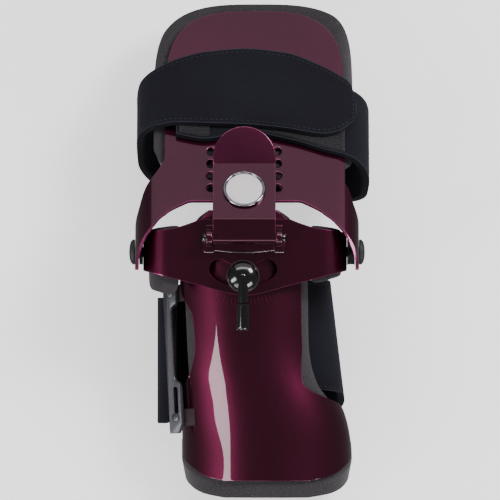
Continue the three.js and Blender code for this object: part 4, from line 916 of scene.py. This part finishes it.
flange = [(0.4, LEVER_RISE - 1.35), (FOLD_Y - 0.4, LEVER_RISE - 1.35), below(PANEL_Y - 0.2, PANEL_Z, 1.35)]
flange += [below(PANEL_Y, PANEL_Z, 2.6), below(PANEL_Y - 1, PANEL_Z + 0.7, 3.0)]
flange += [below(FOLD_Y, LEVER_RISE, 6)] + arc(0, 0, 2.6, -60, -180, 14)
sides = [slab(flange, x, x + LEVER_WALL, HINGE @ SIDEWAYS, 0.35) for x in (-LEVER_HALF + 0.02, 14.23)]
tab = arc(0, 2.75, LEVER_HALF, 0, 180, 64) + [(-LEVER_HALF, -0.5), (LEVER_HALF, -0.5)]
TAB = HINGE @ placed(0, PANEL_Y, PANEL_Z)
tab = slab(tab, -LEVER_WALL, 0, TAB, 0.4, 3)
mark = tab.verts.layers.float["edge_mm"]
for vert in tab.verts:
    local = TAB.inverted() @ vert.co
    reach = LEVER_HALF - (math.hypot(local.x, max(local.y - 2.75, 0)) if local.y > 2.75 else abs(local.x))
    vert[mark] = max(reach, 0)
top = sheet_mesh(24, len(LEVER) - 1, lever_place, HINGE, LEVER_WALL, 1.1, 5, under=False)
lever = as_object("lever_paint", joined(top, tab, *sides), PAINT)
cut_with(lever, pin_bore(), overlaps=True)
finished(lever, "lever", ["cup_lever"])

# Hinge bracket: a base with a bowed rear edge and bare rims, two ears on feet
EAR_IN, EAR_OUT, BASE_LOW = 16.05, 19.05, -6.0
base = [(EAR_OUT, 6.5), (-EAR_OUT, 6.5), (-EAR_OUT, -6.2)]
base += [(x, -6.2 - 1.3 * math.cos(x / EAR_IN * math.pi / 2)) for x in np.linspace(-14.5, 14.5, 24)]
base += [(EAR_OUT, -6.2)]
base = slab(base, BASE_LOW, BASE_LOW + 1.5, HINGE, 0.3)
ears, feet = [], []
for x in (-EAR_OUT, EAR_IN):
    ear = [(-4.4, BASE_LOW + 0.2), (4.4, BASE_LOW + 0.2)] + arc(0, 0, 4.4, 0, 180, 24)
    ears.append(slab(clean(ear), x, x + 3, HINGE @ SIDEWAYS, 0.45, 3))
    middle = x + 1.5
    foot = arc(middle - 1.6, -6.2, 1.2, 180, 270, 6) + arc(middle + 1.6, -6.2, 1.2, 270, 360, 6)
    foot += [(middle + 2.8, -1), (middle - 2.8, -1)]
    feet.append(slab(foot, BASE_LOW + 0.05, BASE_LOW + 1.75, HINGE, 0.35))
bracket = as_object("bracket_paint", joined(base, *ears, *feet), PAINT, BARE)
down = (HINGE.to_3x3() @ Vector((0, -1, 0))).normalized()
level = (HINGE.to_3x3() @ Vector((0, 0, 1))).normalized()
low_edge = HINGE @ Vector((0, 0, BASE_LOW + 1.9))
for face in bracket.data.polygons:
    if face.normal.dot(down) > 0.25 and (face.center - low_edge).dot(level) < 0:
        face.material_index = 1
cut_with(bracket, pin_bore(), overlaps=True)
finished(bracket, "yoke", ["hinge_bracket"])

# Pin of the hinge, with rounded heads outside the ears
profile = [(0, -21.2), (1.2, -21.2), (2.1, -20.8), (2.6, -20.1), (2.6, -19.35), (1.5, -19.35), (1.5, 19.35),
           (2.6, 19.35), (2.6, 20.1), (2.1, 20.8), (1.2, 21.2), (0, 21.2)]
pin = as_object("hinge_pin", lathe(profile, HINGE @ across, 40), BLACK_GLOSS)
finished(pin, "lever", ["lever_pin"])

# Badge: a stepped bright rim round a crowned white disc
profile = [(9.3, 0), (10.7, 0), (10.7, 0.9), (10.55, 1.3), (10.2, 1.55), (9.85, 1.6), (9.55, 1.45),
           (9.35, 1.15), (9.3, 1)]
rim = as_object("badge_ring", lathe(profile, BADGE, 96), CHROME)
finished(rim, "lever", ["badge_rim"], 50)
crown = [(9.1 * math.cos(t), 0.9 + 0.5 * math.sin(t)) for t in np.linspace(0, math.pi / 2, 14)[1:-1]]
disc = lathe([(0, 0), (9.1, 0), (9.1, 0.85), *crown, (0, 1.4)], BADGE, 96)
finished(as_object("badge_disc", disc, PEARL), "lever", ["badge_face"])

# Clamp: stepped washer, grooved hub with a domed crown, a polished arm and its sleeve
profile = [(2.9, 2.6), (7.9, 2.6), (8.2, 2.85), (8.2, 3.8), (7.9, 4.1), (7.0, 4.1), (6.8, 3.9), (2.9, 3.9)]
washer = as_object("clamp_ring", lathe(profile, CLAMP, 72), BLACK_SATIN)
finished(washer, "forearm", ["clamp_washer"])
HUB, ARM_Z = 4.4, 12.06
profile = [(0, HUB + 5.3), (2.9, HUB + 5.3), (2.9, HUB), (7.3, HUB), (7.7, HUB + 0.4), (7.8, HUB + 2.4),
           (7.45, HUB + 2.7), (7.45, HUB + 3.2), (7.8, HUB + 3.5), (7.8, HUB + 5.0)]
turns = np.linspace(0.05, math.pi / 2, 18)[:-1]
profile += [(7.8 * math.cos(t), HUB + 5.2 + 4.8 * math.sin(t)) for t in turns]
hub = lathe([*profile, (0, HUB + 10)], CLAMP, 80)
along = CLAMP @ placed(0, 0, ARM_Z, math.pi / 2)
root = [(2.6 * math.cos(t), 2.6 * math.sin(t)) for t in np.linspace(-math.pi / 2, 0, 8)[1:]]
arm = lathe([(0, -2.6), *root, (2.6, 13.2), (2.3, 13.5), (2.3, 20.3), (0, 20.3)], along, 48)
hub = as_object("clamp_handle", joined(hub, arm), BLACK_GLOSS)
finished(hub, "clamp", ["clamp_hub"])
profile = [(0, 21), (2.6, 21), (2.6, 13.85), (2.95, 13.75), (3.25, 14.05), (3.25, 25.2)]
profile += [(1.85 + 1.4 * math.cos(t), 25.2 + 1.9 * math.sin(t)) for t in np.linspace(0.2, math.pi / 2, 7)]
grip = as_object("clamp_sleeve", lathe([*profile, (0, 27.15)], along, 48), BLACK_GLOSS)
finished(grip, "clamp", ["clamp_grip"])

# Side pivots: caps with a moulded rim, a crown and a shank, and waisted spacers from the yoke to the hand
SHANK_END, SPACER_START = 49.1, YOKE_HALF + 0.3
for side, name in ((-1, "left"), (1, "right")):
    out = Matrix.Rotation(side * math.pi / 2, 4, "Y")
    reach = HAND_SIDES[side][0] + 0.3
    shank = SHANK_END - reach
    profile = [(0, shank), (2.5, shank), (2.5, 0), (6.0, 0), (6.4, 0.25), (6.4, 0.9), (6.1, 1.2)]
    profile += [(6.0 * math.cos(t), 1.2 + 1.7 * math.sin(t)) for t in np.linspace(0, math.pi / 2, 14)[:-1]]
    place = HAND @ placed(side * reach, pivot_back.y, pivot_back.z) @ out
    cap = as_object("pivot_button_" + name, lathe([*profile, (0, 2.9)], place, 64), BLACK_SATIN)
    finished(cap, "hand", ["pivot_cap_" + name])
    far = reach - 0.3 - SHELL_WALL - 0.3
    waist = [(6.2, lerp(SPACER_START, far, share)) for share in (0.3, 0.7)]
    profile = [(PIVOT_HOLE, SPACER_START), (6.5, SPACER_START), *waist, (6.5, far), (PIVOT_HOLE, far)]
    spacer = lathe(profile, DEVICE @ placed(0, PIVOT_Y, PIVOT_Z) @ out, 64)
    bush = as_object("pivot_bush_" + name, spacer, BLACK_SATIN)
    finished(bush, "yoke", ["pivot_spacer_" + name])


# Strap bar with its notch, its recess and a slot near the rear end


def bezier(*corners):
    """Points of a cubic curve."""
    a, b, c, d = (np.array(corner) for corner in corners)
    return [tuple((1 - t) ** 3 * a + 3 * (1 - t) ** 2 * t * b + 3 * (1 - t) * t * t * c + t ** 3 * d)
            for t in np.linspace(0, 1, 11)]


def bar_point(x, share):
    """A point of the bar's outline, at a share of its length from the front."""
    return x, -share * BAR_LENGTH


half, recess = 3.8, 0.38
outline = [(-half, 0), (-1.33, 0), (-0.38, -1.37), (0.76, 0), (half, -0.76), bar_point(half, 0.14)]
outline += bezier(*[bar_point(*p) for p in ((half, 0.14), (half, 0.2), (recess, 0.16), (recess, 0.22))])[1:]
outline += bezier(*[bar_point(*p) for p in ((recess, 0.62), (recess, 0.69), (half, 0.64), (half, 0.72))])
outline += [bar_point(half, 0.94), bar_point(1.52, 1), bar_point(-half, 1)]
bar = as_object("bar_steel", slab(clean(outline), -1.25, 1.25, BAR, 0.45, 3), GREY, BARE)
oblong = arc(*bar_point(0.9, 0.715), 1.25, 0, 180, 12) + arc(*bar_point(0.9, 0.86), 1.25, 180, 360, 12)
seats = {name: BAR @ placed(*bar_point(0.3, share), 0) for name, share in RIVETS.items()}
cut_with(bar, slab(oblong, -3, 3, BAR), *[peg(1.9, -3, 3, seat, 32) for seat in seats.values()])
# The recess was sheared, so its wall is bare
inward = (BAR.to_3x3() @ Vector((1, 0, 0))).normalized()
for face in bar.data.polygons:
    share = -(BAR.inverted() @ face.center).y / BAR_LENGTH
    if face.normal.dot(inward) > 0.75 and 0.2 < share < 0.66:
        face.material_index = 1
finished(bar, "forearm", ["strap_bar"])
profile = [(0, -1.25), (1.6, -1.25), (1.6, 1.3), (2.1, 1.3), (2.3, 1.4), (2.1, 1.62), (1.2, 1.78), (0, 1.82)]
for name, seat in seats.items():
    stud = as_object("bar_stud_" + name, lathe(profile, seat, 40), GREY)
    finished(stud, "forearm", ["bar_rivet_" + name])

# The scale of fine strokes on the forearm, about the swivel
bm = bmesh.new()
for k in range(-7, 8):
    angle = rad(-90 + k * 3.2)
    near, far = 33.2, 36.4 if k % 2 else 37.2
    corners = []
    for reach, aside in ((near, -0.12), (near, 0.12), (far, 0.12), (far, -0.12)):
        x = SWIVEL.x + reach * math.cos(angle) - aside * math.sin(angle)
        y = SWIVEL.y + reach * math.sin(angle) + aside * math.cos(angle)
        along, turn = np.array([FRONT - y]), np.zeros(1)
        # The degrees round the arch at which it lies under x
        for _ in range(6):
            turn += np.degrees((x - forearm_at(along, turn, 0)[0][0][0]) / HALF)
        spot, normal = forearm_at(along, turn, 0)
        corners.append(bm.verts.new(DEVICE @ Vector(spot[0] + normal[0] * 0.03)))
    bm.faces.new(corners)
bmesh.ops.solidify(bm, geom=bm.faces[:], thickness=0.00005)
bmesh.ops.recalc_face_normals(bm, faces=bm.faces[:])
finished(as_object("angle_scale", bm, ENAMEL), "forearm", (), 80)

# The nodes that stay get their finishes
for node, finish in (("swivel_rivet", BLACK_SATIN), ("clamp_stud", STEEL)):
    mesh = frame["nodes"][node].data
    mesh.materials.clear()
    mesh.materials.append(finish)

# Floor, light and camera


def floor_finish():
    """White background paper, lit from behind: matt, with a barely visible grain 2.5 mm wide."""
    made, tree, shader, where = material("white_paper")
    grain = add(tree, "TexNoise", {"Vector": where, "Scale": cells(2.5)})
    colour = add(tree, "ValToRGB", {"Fac": grain}, [(0.3, "f4f4f4"), (0.7, "f8f8f8")])
    fill(tree, shader, {"Base Color": colour, "Roughness": 0.9, "Specular IOR Level": 0.1,
                        "Emission Strength": 0.8})
    return made


bm = bmesh.new()
bmesh.ops.create_grid(bm, x_segments=8, y_segments=8, size=3)
bmesh.ops.translate(bm, verts=bm.verts[:], vec=(0, 0, -0.0002))
floor = as_object("stage_floor", bm, floor_finish())
# The paper stays out of the gloss, as dark cards beside the object would keep it
floor.visible_glossy = False


def area_light(name, place, aim, size, power, colour=(1, 1, 1)):
    data = bpy.data.lights.new(name, "AREA")
    data.shape, data.energy, data.color = "RECTANGLE", power, colour
    data.size, data.size_y = size
    made = bpy.data.objects.new(name, data)
    bpy.context.scene.collection.objects.link(made)
    made.location = place
    made.rotation_euler = (Vector(aim) - Vector(place)).to_track_quat("-Z", "Y").to_euler()
    return made


world = bpy.data.worlds.new("studio")
world.use_nodes = True
world.node_tree.nodes["Background"].inputs["Color"].default_value = (1, 1, 1, 1)
world.node_tree.nodes["Background"].inputs["Strength"].default_value = 0.14
bpy.context.scene.world = world


# The forearm's directions in the world
SQUARE = DEVICE.to_3x3().normalized()


def toward(left, rear, distance):
    """A place seen from the swivel at angles in degrees to the left of and behind the forearm's normal."""
    a, b = rad(left), rad(rear)
    way = SQUARE @ Vector((-math.sin(a) * math.cos(b), -math.sin(b), math.cos(a) * math.cos(b)))
    return Vector((0, 0, 0.06)) + way * distance


# The softbox mirrors in the forearm as a long wedge: one of its corners is the tip, where two sides start
BOX_LONG, BOX_WIDE = 0.9, 0.25
softbox = area_light("softbox_left", (0, 0, 1), (0, 0, 0), (BOX_LONG, BOX_WIDE), 7.4)
tilt, slant = rad(46), rad(23)
left = Vector((-math.cos(tilt), 0, -math.sin(tilt)))
ahead = Vector((0, 1, 0))
out = Vector((-math.sin(tilt), 0, math.cos(tilt)))
long_side = left * math.cos(slant) - ahead * math.sin(slant)
short_side = ahead * math.cos(slant) + left * math.sin(slant)
corner = out - left * 0.12 - ahead * 0.085
middle = corner + long_side * BOX_LONG / 2 - short_side * BOX_WIDE / 2
pose = Matrix((SQUARE @ -long_side, SQUARE @ short_side, SQUARE @ out)).transposed().to_4x4()
softbox.matrix_world = Matrix.Translation(Vector((0, 0, 0.07)) + SQUARE @ middle) @ pose
area_light("glow_right", toward(-46, -29, 1.2), (0, -0.08, 0.06), (0.4, 0.4), 11)
area_light("card_far", (0, 1.0, 0.67), (0, 0.05, 0.03), (2.0, 0.6), 2.5, (0.95, 0.85, 1.0))
area_light("back_high", toward(0, -44, 1.4), (0, 0, 0), (1.8, 0.35), 8)
area_light("front_low", toward(0, 48, 1.4), (0, 0, 0), (1.6, 0.3), 4)
area_light("wide_left", toward(54, 52, 1.4), (0, 0, 0), (0.6, 0.6), 4)
area_light("wide_right", toward(-48, 42, 1.4), (0, 0, 0), (0.6, 0.6), 8)

# The camera stands far away, nearly overhead, and sees 0.25 m across
camera = bpy.data.objects.new("camera", bpy.data.cameras.new("camera"))
bpy.context.scene.collection.objects.link(camera)
bpy.context.scene.camera = camera
ELEVATION, DISTANCE, ACROSS = rad(77), 6.0, 0.25
aim = DEVICE @ Vector((2.5, 0, 0))
camera.location = aim + Vector((0, -math.cos(ELEVATION), math.sin(ELEVATION))) * DISTANCE
camera.rotation_euler = (aim - camera.location).to_track_quat("-Z", "Y").to_euler()
camera.data.sensor_width = 36
camera.data.lens = 36 * DISTANCE / ACROSS
camera.data.clip_start = 0.01
